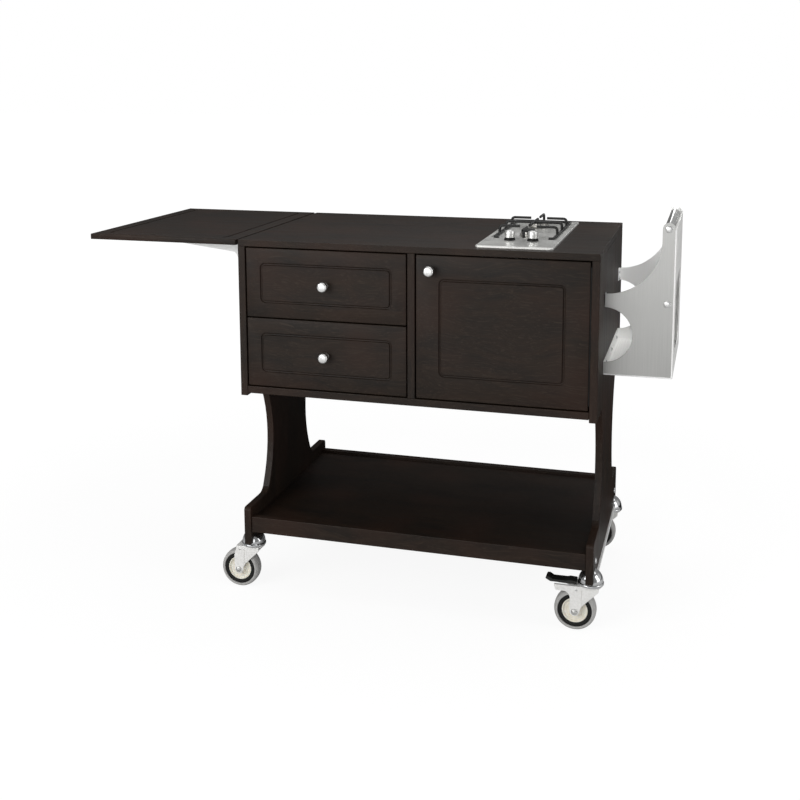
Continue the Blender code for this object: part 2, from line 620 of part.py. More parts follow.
def make_rack():
    """Two cheeks, a folded tray with the outer plate, and a round top rail."""
    face = half_width + FIT_GAP
    reach = RACK_REACH - RACK_METAL - FIT_GAP
    low = WORKTOP_HEIGHT - RACK_DROP
    high = WORKTOP_HEIGHT + RACK_RISE
    scoop_centre = WORKTOP_HEIGHT + RACK_SCOOP_RISE
    tab_top = scoop_centre - RACK_SCOOP_RADIUS
    bite_centre = tab_top - RACK_TAB - RACK_BITE_RADIUS
    lobe = (reach - RACK_SCOOP_RADIUS) / 2
    scoop = arc((0, scoop_centre), RACK_SCOOP_RADIUS, 0, -90, RACK_ARC_STEPS)
    bite = arc((0, bite_centre), RACK_BITE_RADIUS, 90, -90, RACK_ARC_STEPS)
    crown = arc((RACK_SCOOP_RADIUS + lobe, high - lobe), lobe, 0, 180, 8)
    loop = [(face + x, z) for x, z in scoop + bite + [(0, low), (reach, low)] + crown]
    front = RACK_FRONT_SETBACK
    back = CABINET_DEPTH - RACK_BACK_SETBACK
    for end, y, inward in (("front", front + RACK_METAL / 2, 1), ("rear", back - RACK_METAL / 2, -1)):
        cheek = outline("rack_cheek_" + end, trolley, (loop,), RACK_METAL, "Y", y, "brushed_steel")
        edges = sorted((y, y + inward * RACK_TAB_FLANGE))
        tab = block("rack_tab_" + end, trolley, (face, edges[0], tab_top - RACK_TAB),
                    (face + RACK_METAL, edges[1], tab_top), None)
        join(cheek, tab)
    inside = (front + RACK_METAL + FIT_GAP, back - RACK_METAL - FIT_GAP)
    flange_top = bite_centre - RACK_BITE_RADIUS
    tray = block("rack_tray", trolley, (face, inside[0], low),
                 (face + reach + RACK_METAL / 2, inside[1], low + RACK_METAL), "brushed_steel")
    flange = block("tray_flange", trolley, (face, inside[0], low),
                   (face + RACK_METAL, inside[1], flange_top), None)
    plate_inner = face + reach + FIT_GAP
    plate_outer = half_width + RACK_REACH
    plate = block("rack_plate", trolley, (plate_inner, front, low), (plate_outer, back, high - lobe), None)
    tie = block("tray_tie", trolley, (face + reach - RACK_METAL, inside[0], low),
                (plate_outer - RACK_METAL / 2, inside[1], low + RACK_METAL), None)
    join(tray, flange, plate, tie)
    window_high = high - RACK_WINDOW_TOP
    window_loop = rounded_rectangle((front + RACK_WINDOW_SIDE, window_high - RACK_WINDOW_HEIGHT),
                                    (back - RACK_WINDOW_SIDE, window_high), RACK_WINDOW_CORNER, 4)
    window = outline("rack_window", trolley, (window_loop,), RACK_METAL + OVERRUN, "X",
                     plate_outer - RACK_METAL / 2, None)
    boolean(tray, window)
    rail_middle = (face + RACK_SCOOP_RADIUS + lobe, (inside[0] + inside[1]) / 2, high - lobe)
    cylinder("rack_top_rail", trolley, min(RAIL_RADIUS, lobe), inside[1] - inside[0], rail_middle,
             (0, 1, 0), "polished_steel", ROUND_STEPS)


def make_hob():
    """Pressed steel hob, its two burners, the wire pan support and the two gas knobs."""
    top = WORKTOP_HEIGHT + FIT_GAP + HOB_RIM_HEIGHT
    left, right = HOB_CENTRE_X - HOB_WIDTH / 2, HOB_CENTRE_X + HOB_WIDTH / 2
    front, back = HOB_FRONT_SETBACK, HOB_FRONT_SETBACK + hob_depth
    deck = block("hob_deck", trolley, (left, front, WORKTOP_HEIGHT + FIT_GAP), (right, back, top),
                 "brushed_steel", HOB_RIM_EDGE)
    inset = HOB_LIP + HOB_CUT_CLEARANCE
    skirt_low = WORKTOP_HEIGHT - HOB_SKIRT_DEPTH
    skirt = block("hob_skirt", trolley, (left + inset, front + inset, skirt_low),
                  (right - inset, back - inset, top - HOB_RIM_HEIGHT / 2), None)
    wall = inset + HOB_METAL
    well_floor = top - HOB_WELL_DEPTH
    hollow = block("hob_hollow", trolley, (left + wall, front + wall, skirt_low - OVERRUN),
                   (right - wall, back - wall, well_floor - HOB_METAL), None)
    well = block("hob_well", trolley, (left + HOB_WELL_INSET, front + HOB_WELL_FRONT, well_floor),
                 (right - HOB_WELL_INSET, back - HOB_WELL_INSET, top + OVERRUN), None)
    join(deck, skirt)
    boolean(deck, hollow)
    boolean(deck, well)

    for end, radius, share in zip(("front", "rear"), BURNER_RADII, BURNER_SETBACK_SHARES):
        at = (HOB_CENTRE_X, front + share * hob_depth, well_floor + FIT_GAP)
        throat = radius * BURNER_THROAT_SHARE
        cup = [(0, -BURNER_THROAT_DEPTH), (throat, -BURNER_THROAT_DEPTH), (throat, 0), (radius, 0),
               (radius, BURNER_BASE_HEIGHT / 2),
               (radius - BURNER_BASE_HEIGHT / 3, BURNER_BASE_HEIGHT), (0, BURNER_BASE_HEIGHT)]
        turned("burner_" + end, trolley, cup, "burner_alloy", at)
        boolean(deck, cylinder("burner_hole_" + end, trolley, throat + FIT_GAP, HOB_RIM_HEIGHT * 4, at,
                               (0, 0, 1)))
        brim = radius - BURNER_BASE_HEIGHT / 3
        cap = [(brim * wide, BURNER_CAP_HEIGHT * tall) for wide, tall in BURNER_CAP_SHARES]
        turned("burner_cap_" + end, trolley, cap, "black_enamel",
               (at[0], at[1], at[2] + BURNER_BASE_HEIGHT + FIT_GAP))

    for name, side in (("left", -1), ("right", 1)):
        at = (HOB_CENTRE_X + side * HOB_KNOB_SPACING / 2, front + HOB_KNOB_SETBACK_SHARE * hob_depth, top)
        shaft = pivot("hob_knob_axis_" + name, at, trolley)
        rest = HOB_PUSH + FIT_GAP
        collar = [(0, -STEM_LENGTH), (STEM_RADIUS, -STEM_LENGTH), (STEM_RADIUS, rest),
                  (HOB_COLLAR_RADIUS, rest),
                  (HOB_COLLAR_RADIUS, rest + HOB_COLLAR_HEIGHT), (0, rest + HOB_COLLAR_HEIGHT)]
        turned("valve_stem_" + name, shaft, collar, "black_plastic", steps=SMALL_ROUND_STEPS)
        boolean(deck, cylinder("stem_hole_" + name, trolley, STEM_RADIUS + FIT_GAP, HOB_RIM_HEIGHT * 4, at,
                               (0, 0, 1)))
        base = rest + HOB_COLLAR_HEIGHT + FIT_GAP
        r, h = HOB_KNOB_RADIUS, HOB_KNOB_HEIGHT
        body = [(r * wide, h * tall) for wide, tall in HOB_KNOB_SHARES]
        knob = turned("hob_knob_" + name, shaft, body, "polished_steel", (0, 0, base),
                      steps=SMALL_ROUND_STEPS)
        for hand in (-1, 1):
            edges = sorted((hand * HOB_KNOB_GRIP / 2, hand * (r + OVERRUN)))
            long = r * HOB_GRIP_LENGTH_SHARE
            ledge = base + h * (1 - HOB_GRIP_DEPTH_SHARE)
            boolean(knob, block("grip_" + name + str(hand), shaft, (edges[0], -long, ledge),
                                (edges[1], long, base + h + OVERRUN), None))
    make_pan_support(left, right, front, back, well_floor)


def make_pan_support(left, right, front, back, floor):
    """A welded ladder of square bars on the hob, with four raised fingers round each burner."""
    bar = GRID_BAR
    x_low, x_high = left + GRID_SIDE_INSET, right - GRID_SIDE_INSET
    y_low, y_high = front + GRID_FRONT_INSET + bar, back - GRID_BACK_INSET
    frame_low = floor + FIT_GAP
    top = floor + HOB_WELL_DEPTH + GRID_RISE
    middle_y = front + hob_depth * sum(BURNER_SETBACK_SHARES) / len(BURNER_SETBACK_SHARES)
    half = bar / 2
    rim = [(x_low, y_low), (x_high, y_low), (x_high, y_high), (x_low, y_high)]
    loops = [rim]
    for low, high in ((y_low + bar, middle_y - half), (middle_y + half, y_high - bar)):
        loops.append([(x_low + bar, low), (x_high - bar, low), (x_high - bar, high), (x_low + bar, high)])
    grid = outline("pan_support", trolley, loops, bar, "Z", frame_low + half, "black_enamel")

    middle_x = (left + right) / 2
    slim = half - GRID_WELD_STEP
    post_low, post_high = frame_low + half, top - half
    posts = [(middle_x, y_low + half), (middle_x, middle_y), (middle_x, y_high - half)]
    fingers = []
    for radius, share in zip(BURNER_RADII, BURNER_SETBACK_SHARES):
        y = front + share * hob_depth
        near = radius + GRID_FINGER_CLEARANCE
        before, behind = (y_low + half, middle_y) if y < middle_y else (middle_y, y_high - half)
        posts += [(x_low + half, y), (x_high - half, y)]
        fingers += [
            ((x_low + GRID_WELD_STEP, y - slim), (middle_x - near, y + slim)),
            ((middle_x + near, y - slim), (x_high - GRID_WELD_STEP, y + slim)),
            ((middle_x - slim, before - slim), (middle_x + slim, y - near)),
            ((middle_x - slim, y + near), (middle_x + slim, behind + slim)),
        ]
    thin = slim - GRID_WELD_STEP
    for number, (x, y) in enumerate(posts):
        join(grid, block("grid_post_" + str(number), trolley, (x - thin, y - thin, post_low),
                         (x + thin, y + thin, post_high), None))
    for number, (low, high) in enumerate(fingers):
        join(grid, block("grid_finger_" + str(number), trolley, (*low, top - bar), (*high, top), None))


def make_caster(name, x, y, has_pedal):
    """Domed socket on the foot, swivelling fork, axle, hub and tyre; it all hangs from the swivel axis."""
    swivel = pivot("swivel_" + name, (x, y, 0), trolley)
    top = foot_bottom + DOME_RISE
    base = foot_bottom - DOME_DROP
    r = DOME_RADIUS
    dome_profile = [(r * wide, base + (top - base) * tall) for wide, tall in DOME_SHARES]
    dome = turned("caster_dome_" + name, trolley, dome_profile, "polished_steel", (x, y, 0))
    slot_half = PANEL_THICKNESS / 2 + FIT_GAP
    boolean(dome, block("dome_slot_" + name, trolley,
                        (x - slot_half, y - r - OVERRUN, foot_bottom - FIT_GAP),
                        (x + slot_half, y + r + OVERRUN, top + OVERRUN), None))

    crown_top = base - FIT_GAP
    crown_low = crown_top - FORK_CROWN_METAL
    inside = WHEEL_WIDTH / 2 + FORK_GAP
    outside = inside + FORK_METAL
    crown = [(0, crown_low), (FORK_CROWN_RADIUS, crown_low), (FORK_CROWN_RADIUS, crown_top), (0, crown_top)]
    fork = turned("caster_fork_" + name, swivel, crown, "zinc_steel")
    trail = -CASTER_TRAIL
    end = FORK_LEG_END
    width = FORK_CROWN_RADIUS * FORK_NOSE_SHARE
    foot = arc((trail, WHEEL_RADIUS), end, 200, 340, 6)
    reach = PEDAL_LENGTH if has_pedal else CASTER_TRAIL + end
    brow = crown_low - FORK_CROWN_METAL * 2
    leg_top = crown_top - FORK_CROWN_METAL / 4
    pedal_root = -DOME_RADIUS - PEDAL_CLEARANCE
    pedal_middle = crown_top + PEDAL_CLEARANCE + PEDAL_THICKNESS / 2
    ear_top = pedal_middle + PEDAL_THICKNESS / 2
    ears = [(pedal_root, leg_top), (pedal_root, ear_top), (pedal_root - PEDAL_EAR, ear_top),
            (pedal_root - PEDAL_EAR, leg_top)]
    leg = foot + [(trail + end * FORK_SHIN_SHARE, WHEEL_RADIUS + end), (width, brow), (width, leg_top)]
    leg += ears if has_pedal else []
    leg += [(-reach, leg_top), (-reach, brow), (trail - end, brow - FORK_CROWN_METAL)]
    for side in (-1, 1):
        join(fork, outline("fork_leg_" + name, swivel, (leg,), FORK_METAL, "Y",
                           side * (inside + outside) / 2, None))
    roof_low = (-DOME_RADIUS, -outside + FORK_METAL / 4, crown_low + FORK_CROWN_METAL / 5)
    roof_high = (0, outside - FORK_METAL / 4, crown_top - FORK_CROWN_METAL / 3)
    join(fork, block("fork_roof_" + name, swivel, roof_low, roof_high, None))
    join(fork, cylinder("axle_" + name, swivel, AXLE_RADIUS, outside * 2 - FORK_METAL,
                        (trail, 0, WHEEL_RADIUS), (0, 1, 0)))
    for side in (-1, 1):
        join(fork, cylinder("axle_head_" + name, swivel, AXLE_HEAD_RADIUS, AXLE_HEAD_HEIGHT + FORK_METAL,
                            (trail, side * (outside + AXLE_HEAD_HEIGHT / 2 - FORK_METAL / 2),
                             WHEEL_RADIUS), (0, 1, 0), steps=6))

    roll = pivot("axle_" + name + "_axis", (trail, 0, WHEEL_RADIUS), swivel)
    half = WHEEL_WIDTH / 2
    rim = WHEEL_RADIUS - TYRE_THICKNESS
    hub_half = half + FORK_GAP - FIT_GAP
    bore = AXLE_RADIUS + AXLE_CLEARANCE
    boss = HUB_BOSS_RADIUS
    hub = [(bore, -hub_half), (boss, -hub_half), (boss, hub_half), (bore, hub_half)]
    rim_lower = [(rim * wide, -half * tall) for wide, tall in RIM_SHARES]
    rim_upper = [(radius, -height) for radius, height in reversed(rim_lower)]
    core = hub[:2] + rim_lower + rim_upper + hub[2:] + hub[:1]
    turned("wheel_core_" + name, roll, core, "cream_plastic", axis=(0, 1, 0))
    inner = rim + FIT_GAP
    wall = half * RIM_WIDTH_SHARE
    tread = [(WHEEL_RADIUS * wide, -half * tall) for wide, tall in TYRE_SHARES]
    far_tread = [(radius, -height) for radius, height in reversed(tread)]
    tyre = [(inner, -wall)] + tread + far_tread + [(inner, wall), (inner, -wall)]
    turned("tyre_" + name, roll, tyre, "grey_rubber", axis=(0, 1, 0))

    if has_pedal:
        # Brake pedal on the fork's long roof, pivoted near the swivel
        press = pivot("pedal_axis", (pedal_root, 0, pedal_middle), swivel)
        low, high = -PEDAL_THICKNESS / 2, PEDAL_THICKNESS / 2
        tip = -pedal_root - PEDAL_LENGTH - PEDAL_TIP_LENGTH
        side = [(0, low), (0, high), (tip + PEDAL_TIP_LENGTH, high), (tip, high + PEDAL_TIP_RISE),
                (tip - PEDAL_THICKNESS / 2, low + PEDAL_TIP_RISE), (tip + PEDAL_TIP_LENGTH, low)]
        outline("brake_pedal", press, (side,), (inside - FIT_GAP) * 2, "Y", 0, "black_plastic")


make_cabinet()
make_lower_shelf()
make_drawer("upper", front_low + drawer_height + FRONT_GAP)
make_drawer("lower", front_low)
make_door()
make_leaf()
make_rack()
make_hob()
for side, x in (("left", -half_width + PANEL_THICKNESS / 2), ("right", half_width - PANEL_THICKNESS / 2)):
    for end, y in (("front", CASTER_SETBACK), ("rear", CABINET_DEPTH - CASTER_SETBACK)):
        make_caster(end + "_" + side, x, y, side == "right" and end == "front")
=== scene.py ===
import math

import bmesh
import bpy
from mathutils import Matrix, Vector


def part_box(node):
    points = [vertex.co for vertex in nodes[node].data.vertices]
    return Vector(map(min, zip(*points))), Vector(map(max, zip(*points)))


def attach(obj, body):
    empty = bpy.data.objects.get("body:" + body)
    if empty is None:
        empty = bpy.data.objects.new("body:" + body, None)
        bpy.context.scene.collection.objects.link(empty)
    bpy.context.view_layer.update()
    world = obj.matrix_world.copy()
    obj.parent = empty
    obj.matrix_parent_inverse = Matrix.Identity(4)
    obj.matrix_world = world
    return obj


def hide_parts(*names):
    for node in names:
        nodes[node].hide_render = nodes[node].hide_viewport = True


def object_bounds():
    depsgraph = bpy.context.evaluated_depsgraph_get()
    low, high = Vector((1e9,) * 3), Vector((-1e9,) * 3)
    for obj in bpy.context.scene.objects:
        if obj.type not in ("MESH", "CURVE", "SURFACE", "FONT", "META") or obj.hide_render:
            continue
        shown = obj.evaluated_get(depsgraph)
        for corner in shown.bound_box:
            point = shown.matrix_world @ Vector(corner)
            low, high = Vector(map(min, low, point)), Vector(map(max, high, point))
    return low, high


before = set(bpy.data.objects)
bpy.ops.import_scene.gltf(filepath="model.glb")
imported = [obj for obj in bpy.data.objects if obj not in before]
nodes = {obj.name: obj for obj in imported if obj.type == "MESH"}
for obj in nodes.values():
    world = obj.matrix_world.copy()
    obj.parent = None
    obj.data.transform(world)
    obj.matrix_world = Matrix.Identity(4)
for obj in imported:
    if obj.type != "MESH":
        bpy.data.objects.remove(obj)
cadLow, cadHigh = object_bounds()
mm = 0.001


def linked(name, data):
    # A new object in the scene
    thing = bpy.data.objects.new(name, data)
    bpy.context.scene.collection.objects.link(thing)
    return thing


# The camera stands where the photograph was taken from, a little above the worktop and right of the middle
cameraView = {
    "place": (0.8178, -2.7764, 1.3138), "turn": 16.034, "tilt": 8.434, "roll": -0.162,
    "focalPixels": 1125.7, "photoPixels": 800, "sensor": 36, "shiftY": -0.20,
}


def addCamera(view):
    data = bpy.data.cameras.new("photoCamera")
    data.sensor_width = view["sensor"]
    data.lens = view["focalPixels"] / view["photoPixels"] * data.sensor_width
    data.shift_y = view["shiftY"]
    data.clip_end = 60
    camera = linked("photoCamera", data)
    turn = Matrix.Rotation(math.radians(view["turn"]), 4, "Z")
    tilt = Matrix.Rotation(math.radians(90 - view["tilt"]), 4, "X")
    roll = Matrix.Rotation(math.radians(view["roll"]), 4, "Z")
    camera.matrix_world = Matrix.Translation(view["place"]) @ turn @ tilt @ roll
    bpy.context.scene.camera = camera


addCamera(cameraView)
bpy.context.scene.view_settings.view_transform = "Standard"
print("camera set")

# Colours and materials


def linear(hexColour):
    channels = [int(hexColour[i:i + 2], 16) / 255 for i in (1, 3, 5)]
    return tuple(c / 12.92 if c <= 0.04045 else ((c + 0.055) / 1.055) ** 2.4 for c in channels) + (1,)


def feed(tree, node, inputs):
    # Gives a node's inputs, by name or number, their value or the output that drives them
    for key, value in inputs.items():
        socket = node.inputs[key.replace("_", " ") if isinstance(key, str) else key]
        if isinstance(value, bpy.types.NodeSocket):
            tree.links.new(value, socket)
        else:
            socket.default_value = value


def addNode(tree, kind, inputs=(), **settings):
    # inputs go by number, settings name a property of the node or an input
    node = tree.nodes.new(kind)
    for name, value in settings.items():
        if hasattr(node, name):
            setattr(node, name, value)
        else:
            feed(tree, node, {name: value})
    feed(tree, node, dict(inputs))
    return node


def newMaterial(name):
    material = bpy.data.materials.new(name)
    material.use_nodes = True
    tree = material.node_tree
    shader = tree.nodes["Principled BSDF"]
    return material, tree, shader


def mixColour(tree, factor, first, second):
    return addNode(tree, "ShaderNodeMix", {0: factor, 6: first, 7: second}, data_type="RGBA").outputs[2]


def spread(tree, source, low, high, toLow=0.0, toHigh=1.0):
    # Takes a pattern's range low..high to toLow..toHigh
    inputs = {0: source, 1: low, 2: high, 3: toLow, 4: toHigh}
    return addNode(tree, "ShaderNodeMapRange", inputs).outputs[0]


def stretchedNoise(tree, sizes, detail=3.0, rough=0.5, twist=0.0, sway=(0, 1)):
    # A noise whose blots measure about sizes, in millimetres, along X, Y and Z. sway is how far its lines
    # wander to the side, and over what length
    place = addNode(tree, "ShaderNodeTexCoord").outputs["Object"]
    if sway[0]:
        drift = addNode(tree, "ShaderNodeTexNoise", Vector=place, Scale=1 / (sway[1] * mm), Detail=1.0)
        inputs = {0: drift.outputs["Color"], 1: (sway[0] * mm,) * 3, 2: place}
        place = addNode(tree, "ShaderNodeVectorMath", inputs, operation="MULTIPLY_ADD").outputs[0]
    scales = tuple(1 / (size * mm) for size in sizes)
    scaled = addNode(tree, "ShaderNodeMapping", Vector=place, Scale=scales).outputs[0]
    noise = addNode(tree, "ShaderNodeTexNoise", Vector=scaled, Scale=1.0, Detail=detail, Roughness=rough,
                    Distortion=twist)
    return noise.outputs[0]


def addBump(tree, shader, height, depth):
    bump = addNode(tree, "ShaderNodeBump", Height=height, Strength=1.0, Distance=depth * mm)
    feed(tree, shader, {"Normal": bump.outputs[0]})


woodLook = {
    "dark": "#16110d", "light": "#281d15", "red": "#321f16", "hairline": "#3a3027",
    "roughness": 0.47, "gloss": 0.2,
    "figureLength": 320, "figureWidth": 30,     # mm, the slow bands of the grain
    "poreLength": 55, "poreWidth": 2.6,         # mm, real pores are 0.2 mm wide, drawn coarser to show
    "sway": (70, 170),                          # mm, how far the grain wanders, and over what length
    "patch": 150,                               # mm, warm patches where the stain took unevenly
    "poreDepth": 0.05,                          # mm
}


def grainSizes(along, length, width):
    return [length if axis == along else width for axis in "XYZ"]


def stainedBeech(name, along, look=woodLook):
    # Beech-faced board, stained near black and lacquered dull satin: fine long pores, faint red patches
    # and a soft sheen
    material, tree, shader = newMaterial(name)
    bands = grainSizes(along, look["figureLength"], look["figureWidth"])
    figure = stretchedNoise(tree, bands, 4, 0.55, 0.6, look["sway"])
    lines = grainSizes(along, look["poreLength"], look["poreWidth"])
    pores = stretchedNoise(tree, lines, 2, 0.6, 0.8, look["sway"])
    patches = stretchedNoise(tree, (look["patch"],) * 3, detail=1)
    base = mixColour(tree, spread(tree, figure, 0.30, 0.72), linear(look["dark"]), linear(look["light"]))
    base = mixColour(tree, spread(tree, patches, 0.45, 0.75, 0, 0.55), base, linear(look["red"]))
    base = mixColour(tree, spread(tree, pores, 0.52, 0.72, 0, 0.5), base, linear(look["hairline"]))
    rough = spread(tree, figure, 0.2, 0.8, look["roughness"] - 0.05, look["roughness"] + 0.07)
    feed(tree, shader, {"Base Color": base, "Roughness": rough, "Specular IOR Level": look["gloss"]})
    addBump(tree, shader, spread(tree, pores, 0.50, 0.68), -look["poreDepth"])
    return material


def brushedStainless(name, along, colour="#aeaeac", roughness=0.34, line=0.9, length=190, metallic=0.9):
    # Stainless sheet with a satin line finish: long hairlines, a soft broad sheen across them.
    # line and length are the hairlines' size in mm; real ones are 0.05 mm wide, drawn coarser to show
    material, tree, shader = newMaterial(name)
    lines = stretchedNoise(tree, grainSizes(along, length, line), detail=2, rough=0.7)
    cloud = stretchedNoise(tree, (length * 0.4,) * 3, detail=1)
    tone = linear(colour)
    paler = tuple(min(1, c * 1.14) for c in tone[:3]) + (1,)
    tone = mixColour(tree, spread(tree, lines, 0.35, 0.65), tone, paler)
    fine = spread(tree, lines, 0.3, 0.7, roughness - 0.05, roughness + 0.06)
    broad = spread(tree, cloud, 0.3, 0.7, -0.03, 0.03)
    rough = addNode(tree, "ShaderNodeMath", {0: fine, 1: broad}, operation="ADD").outputs[0]
    feed(tree, shader, {"Base Color": tone, "Roughness": rough, "Metallic": metallic, "Anisotropic": 0.4})
    addBump(tree, shader, lines, 0.02)
    return material


def mottled(name, blots, tones, roughness, bump, detail=3, fineness=0.5, twist=0.0, toneSpan=(0.3, 0.7),
            roughSpan=(0.3, 0.7), **inputs):
    # One pattern, its blots and bump given in mm, takes the skin from one tone and roughness to the other.
    # The spans are the parts of the pattern over which that happens; inputs are further ones of the shader
    material, tree, shader = newMaterial(name)
    pattern = stretchedNoise(tree, blots, detail, fineness, twist)
    tone = mixColour(tree, spread(tree, pattern, *toneSpan), linear(tones[0]), linear(tones[1]))
    rough = spread(tree, pattern, *roughSpan, *roughness)
    feed(tree, shader, {"Base Color": tone, "Roughness": rough})
    feed(tree, shader, inputs)
    addBump(tree, shader, pattern, bump)
    return material


def polishedChrome(name, colour="#d9dadb", roughness=0.08):
    # Chromium plate on polished brass or steel: mirror bright, with faint smears
    return mottled(name, (14, 14, 14), (colour, colour), (roughness, roughness + 0.07), 0.01,
                   roughSpan=(0.35, 0.7), Metallic=1)


def mouldedBlack(name, colour="#0c0c0b"):
    # Glass-filled nylon, injection moulded with a fine spark texture: dark grey black, dull sheen
    return mottled(name, (0.9, 0.9, 0.9), (colour, "#171716"), (0.42, 0.56), 0.04, fineness=0.7,
                   toneSpan=(0.35, 0.65), Specular_IOR_Level=0.3)


woodAlongX = stainedBeech("beech_stained_black_grain_across", "X")
woodAlongZ = stainedBeech("beech_stained_black_grain_upright", "Z")
steelAlongZ = brushedStainless("stainless_sheet_brushed_upright", "Z")
# Near-white, nearly non-metal copy of the stainless: painted light, for the far cheek, the rack's folds and
# the foot strips
steelPaintedLit = brushedStainless("stainless_sheet_brushed_painted_lit", "Z", "#fcfcfa", 0.5, metallic=0.05)
# Paler, less metallic copy of the stainless for the tray: painted light, for the light its floor and flanges
# catch
steelAlongYPaintedLit = brushedStainless("stainless_sheet_brushed_deep_painted_lit", "Y", "#f0f0ee", 0.46, metallic=0.3)
steelAlongX = brushedStainless("stainless_sheet_brushed_across", "X", "#e0e0dd", 0.32, metallic=0.75)
steelRail = brushedStainless("stainless_bar_polished_deep", "Y", "#ececea", 0.15, 5, 2500, metallic=0.75)
chrome = polishedChrome("chromium_plate_polished")
chromeSoft = polishedChrome("stainless_edge_polished", "#e4e4e3", 0.24)
knobMetal = polishedChrome("knob_metal_satin", "#ececea", 0.34)
boltSteel = polishedChrome("steel_bolt_bright", "#dadad8", 0.26)
nylon = mouldedBlack("nylon_glass_filled_moulded")
# The pedal in a lighter grey than the other black nylon
pedalBlack = mouldedBlack("nylon_pedal_lighter_grey", "#30302e")
# Drawer boxes in pale birch ply under clear lacquer: warm, with long faint grain
birch = mottled("birch_ply_clear_lacquer", (9, 190, 2.4), ("#b39a78", "#cdb693"), (0.5, 0.5), 0.05,
                detail=4, fineness=0.6, twist=0.4)
# Pressed steel, zinc plated: pale metal, half matt, with the mottle of the plating bath
zinc = mottled("steel_pressed_zinc_plated", (5, 5, 5), ("#ecebe8", "#f7f6f4"), (0.32, 0.44), 0.02,
               detail=4, fineness=0.6, toneSpan=(0.35, 0.65), Metallic=0.12)
# Pale grey powder coat on folded steel: even, satin, with a faint orange peel
coat = mottled("steel_folded_powder_coated", (1.6, 1.6, 1.6), ("#f4f4f2", "#fafaf9"), (0.42, 0.42), 0.03,
               detail=2)
# Vitreous enamel over steel: deep black glass skin, slightly wavy
enamel = mottled("enamel_black_fired", (3, 3, 3), ("#080808", "#0f0f0f"), (0.35, 0.48), 0.03, detail=2)
# Aluminium burner casting, tumbled: dull silver with a fine cast grain
alloy = mottled("aluminium_cast_tumbled", (1.2, 1.2, 1.2), ("#a7a5a0", "#c9c7c2"), (0.36, 0.5), 0.05,
                fineness=0.65, Metallic=1)
# Non-marking thermoplastic rubber, moulded: matt mid grey, a little dust on the tread
rubber = mottled("rubber_grey_moulded", (7, 7, 7), ("#acaba9", "#bdbcba"), (0.55, 0.72), 0.05,
                 detail=4, fineness=0.65, toneSpan=(0.35, 0.7), Specular_IOR_Level=0.35)
# Polypropylene wheel centre, injection moulded: cream, waxy, light passes a little into it
cream = mottled("polypropylene_cream_moulded", (10, 3, 10), ("#f1eee4", "#e7e2d3"), (0.38, 0.38), 0.02,
                detail=2, Subsurface_Weight=0.1, Subsurface_Radius=(0.004, 0.003, 0.002))
print("materials made")

ends = ("front", "rear")
sides = ("left", "right")
corners = ("front_left", "front_right", "rear_left", "rear_right")


def named(start, places):
    return tuple(start + "_" + place for place in places)


nodeMaterials = {
    woodAlongX: ("worktop", "cabinet_floor", "lower_shelf", "shelf_front_rail", "shelf_rear_rail",
                 "leaf_panel", "upper_drawer_front", "lower_drawer_front", "door_panel", "back_panel"),
    woodAlongZ: (*named("end_panel", sides), "centre_partition"),
    birch: ("upper_drawer_box", "lower_drawer_box"),
    steelAlongZ: named("rack_cheek", ends),
    steelAlongYPaintedLit: ("rack_tray",),
    steelAlongX: ("hob_deck",),
    steelRail: ("rack_top_rail",),
    chrome: ("upper_drawer_knob", "lower_drawer_knob", "door_knob", *named("hob_knob", sides),
             *named("caster_dome", corners)),
    zinc: (*named("upper_runner", sides), *named("lower_runner", sides), *named("caster_fork", corners)),
    coat: (*named("bracket_arm", ends), *named("bracket_plate", ends), *named("bracket_stay", ends)),
    enamel: ("pan_support", *named("burner_cap", ends)),
    nylon: (*named("valve_stem", sides), "brake_pedal", "door_hinge"),
    alloy: named("burner", ends),
    rubber: named("tyre", corners),
    cream: named("wheel_core", corners),
}
for material, names in nodeMaterials.items():
    for name in names:
        data = nodes[name].data
        data.materials.clear()
        data.materials.append(material)
print("materials given to the packed pieces")

# Shaping tools
weld = 0.02 * mm        # points closer than this are joined
sideShare = 0.49        # a bend takes up at most this share of the side next to it
planeTurns = {
    "X": Matrix(((0, 0, 1), (1, 0, 0), (0, 1, 0))),
    "Y": Matrix(((1, 0, 0), (0, 0, -1), (0, 1, 0))),
    "Z": Matrix.Identity(3),
}


def meshFrom(shape, name):
    bmesh.ops.recalc_face_normals(shape, faces=shape.faces)
    mesh = bpy.data.meshes.new(name)
    shape.to_mesh(mesh)
    shape.free()
    return mesh


def evaluatedMesh(thing):
    # The mesh of an object once its curve or modifiers are worked out; the object itself goes
    mesh = bpy.data.meshes.new_from_object(thing.evaluated_get(bpy.context.evaluated_depsgraph_get()))
    bpy.data.objects.remove(thing)
    return mesh


def filletPath(corners, steps=5, closed=False):
    # corners are (x, y, radius); each corner with a radius becomes a round bend of that size
    points = []
    count = len(corners)
    for number, (x, y, radius) in enumerate(corners):
        here = Vector((x, y))
        if radius <= 0 or (not closed and number in (0, count - 1)):
            points.append(here)
            continue
        before = Vector(corners[number - 1][:2]) - here
        after = Vector(corners[(number + 1) % count][:2]) - here
        toBefore, toAfter = before.normalized(), after.normalized()
        halfAngle = toBefore.angle(toAfter) / 2
        reach = min(radius / math.tan(halfAngle), before.length * sideShare, after.length * sideShare)
        bend = reach * math.tan(halfAngle)
        middle = here + (toBefore + toAfter).normalized() * (bend / math.sin(halfAngle))
        first, last = here + toBefore * reach - middle, here + toAfter * reach - middle
        sweep = first.angle_signed(last)
        for step in range(steps + 1):
            points.append(middle + Matrix.Rotation(-sweep * step / steps, 2) @ first)
    return [(p.x, p.y) for p in points]


def roundedLoop(low, high, corner, steps=8):
    corners = ((low[0], low[1]), (high[0], low[1]), (high[0], high[1]), (low[0], high[1]))
    return filletPath([(x, y, corner) for x, y in corners], steps, closed=True)


def arcPoints(middle, radius, start, end, steps=32):
    angles = [math.radians(start + (end - start) * step / steps) for step in range(steps + 1)]
    return [(middle[0] + radius * math.cos(angle), middle[1] + radius * math.sin(angle)) for angle in angles]


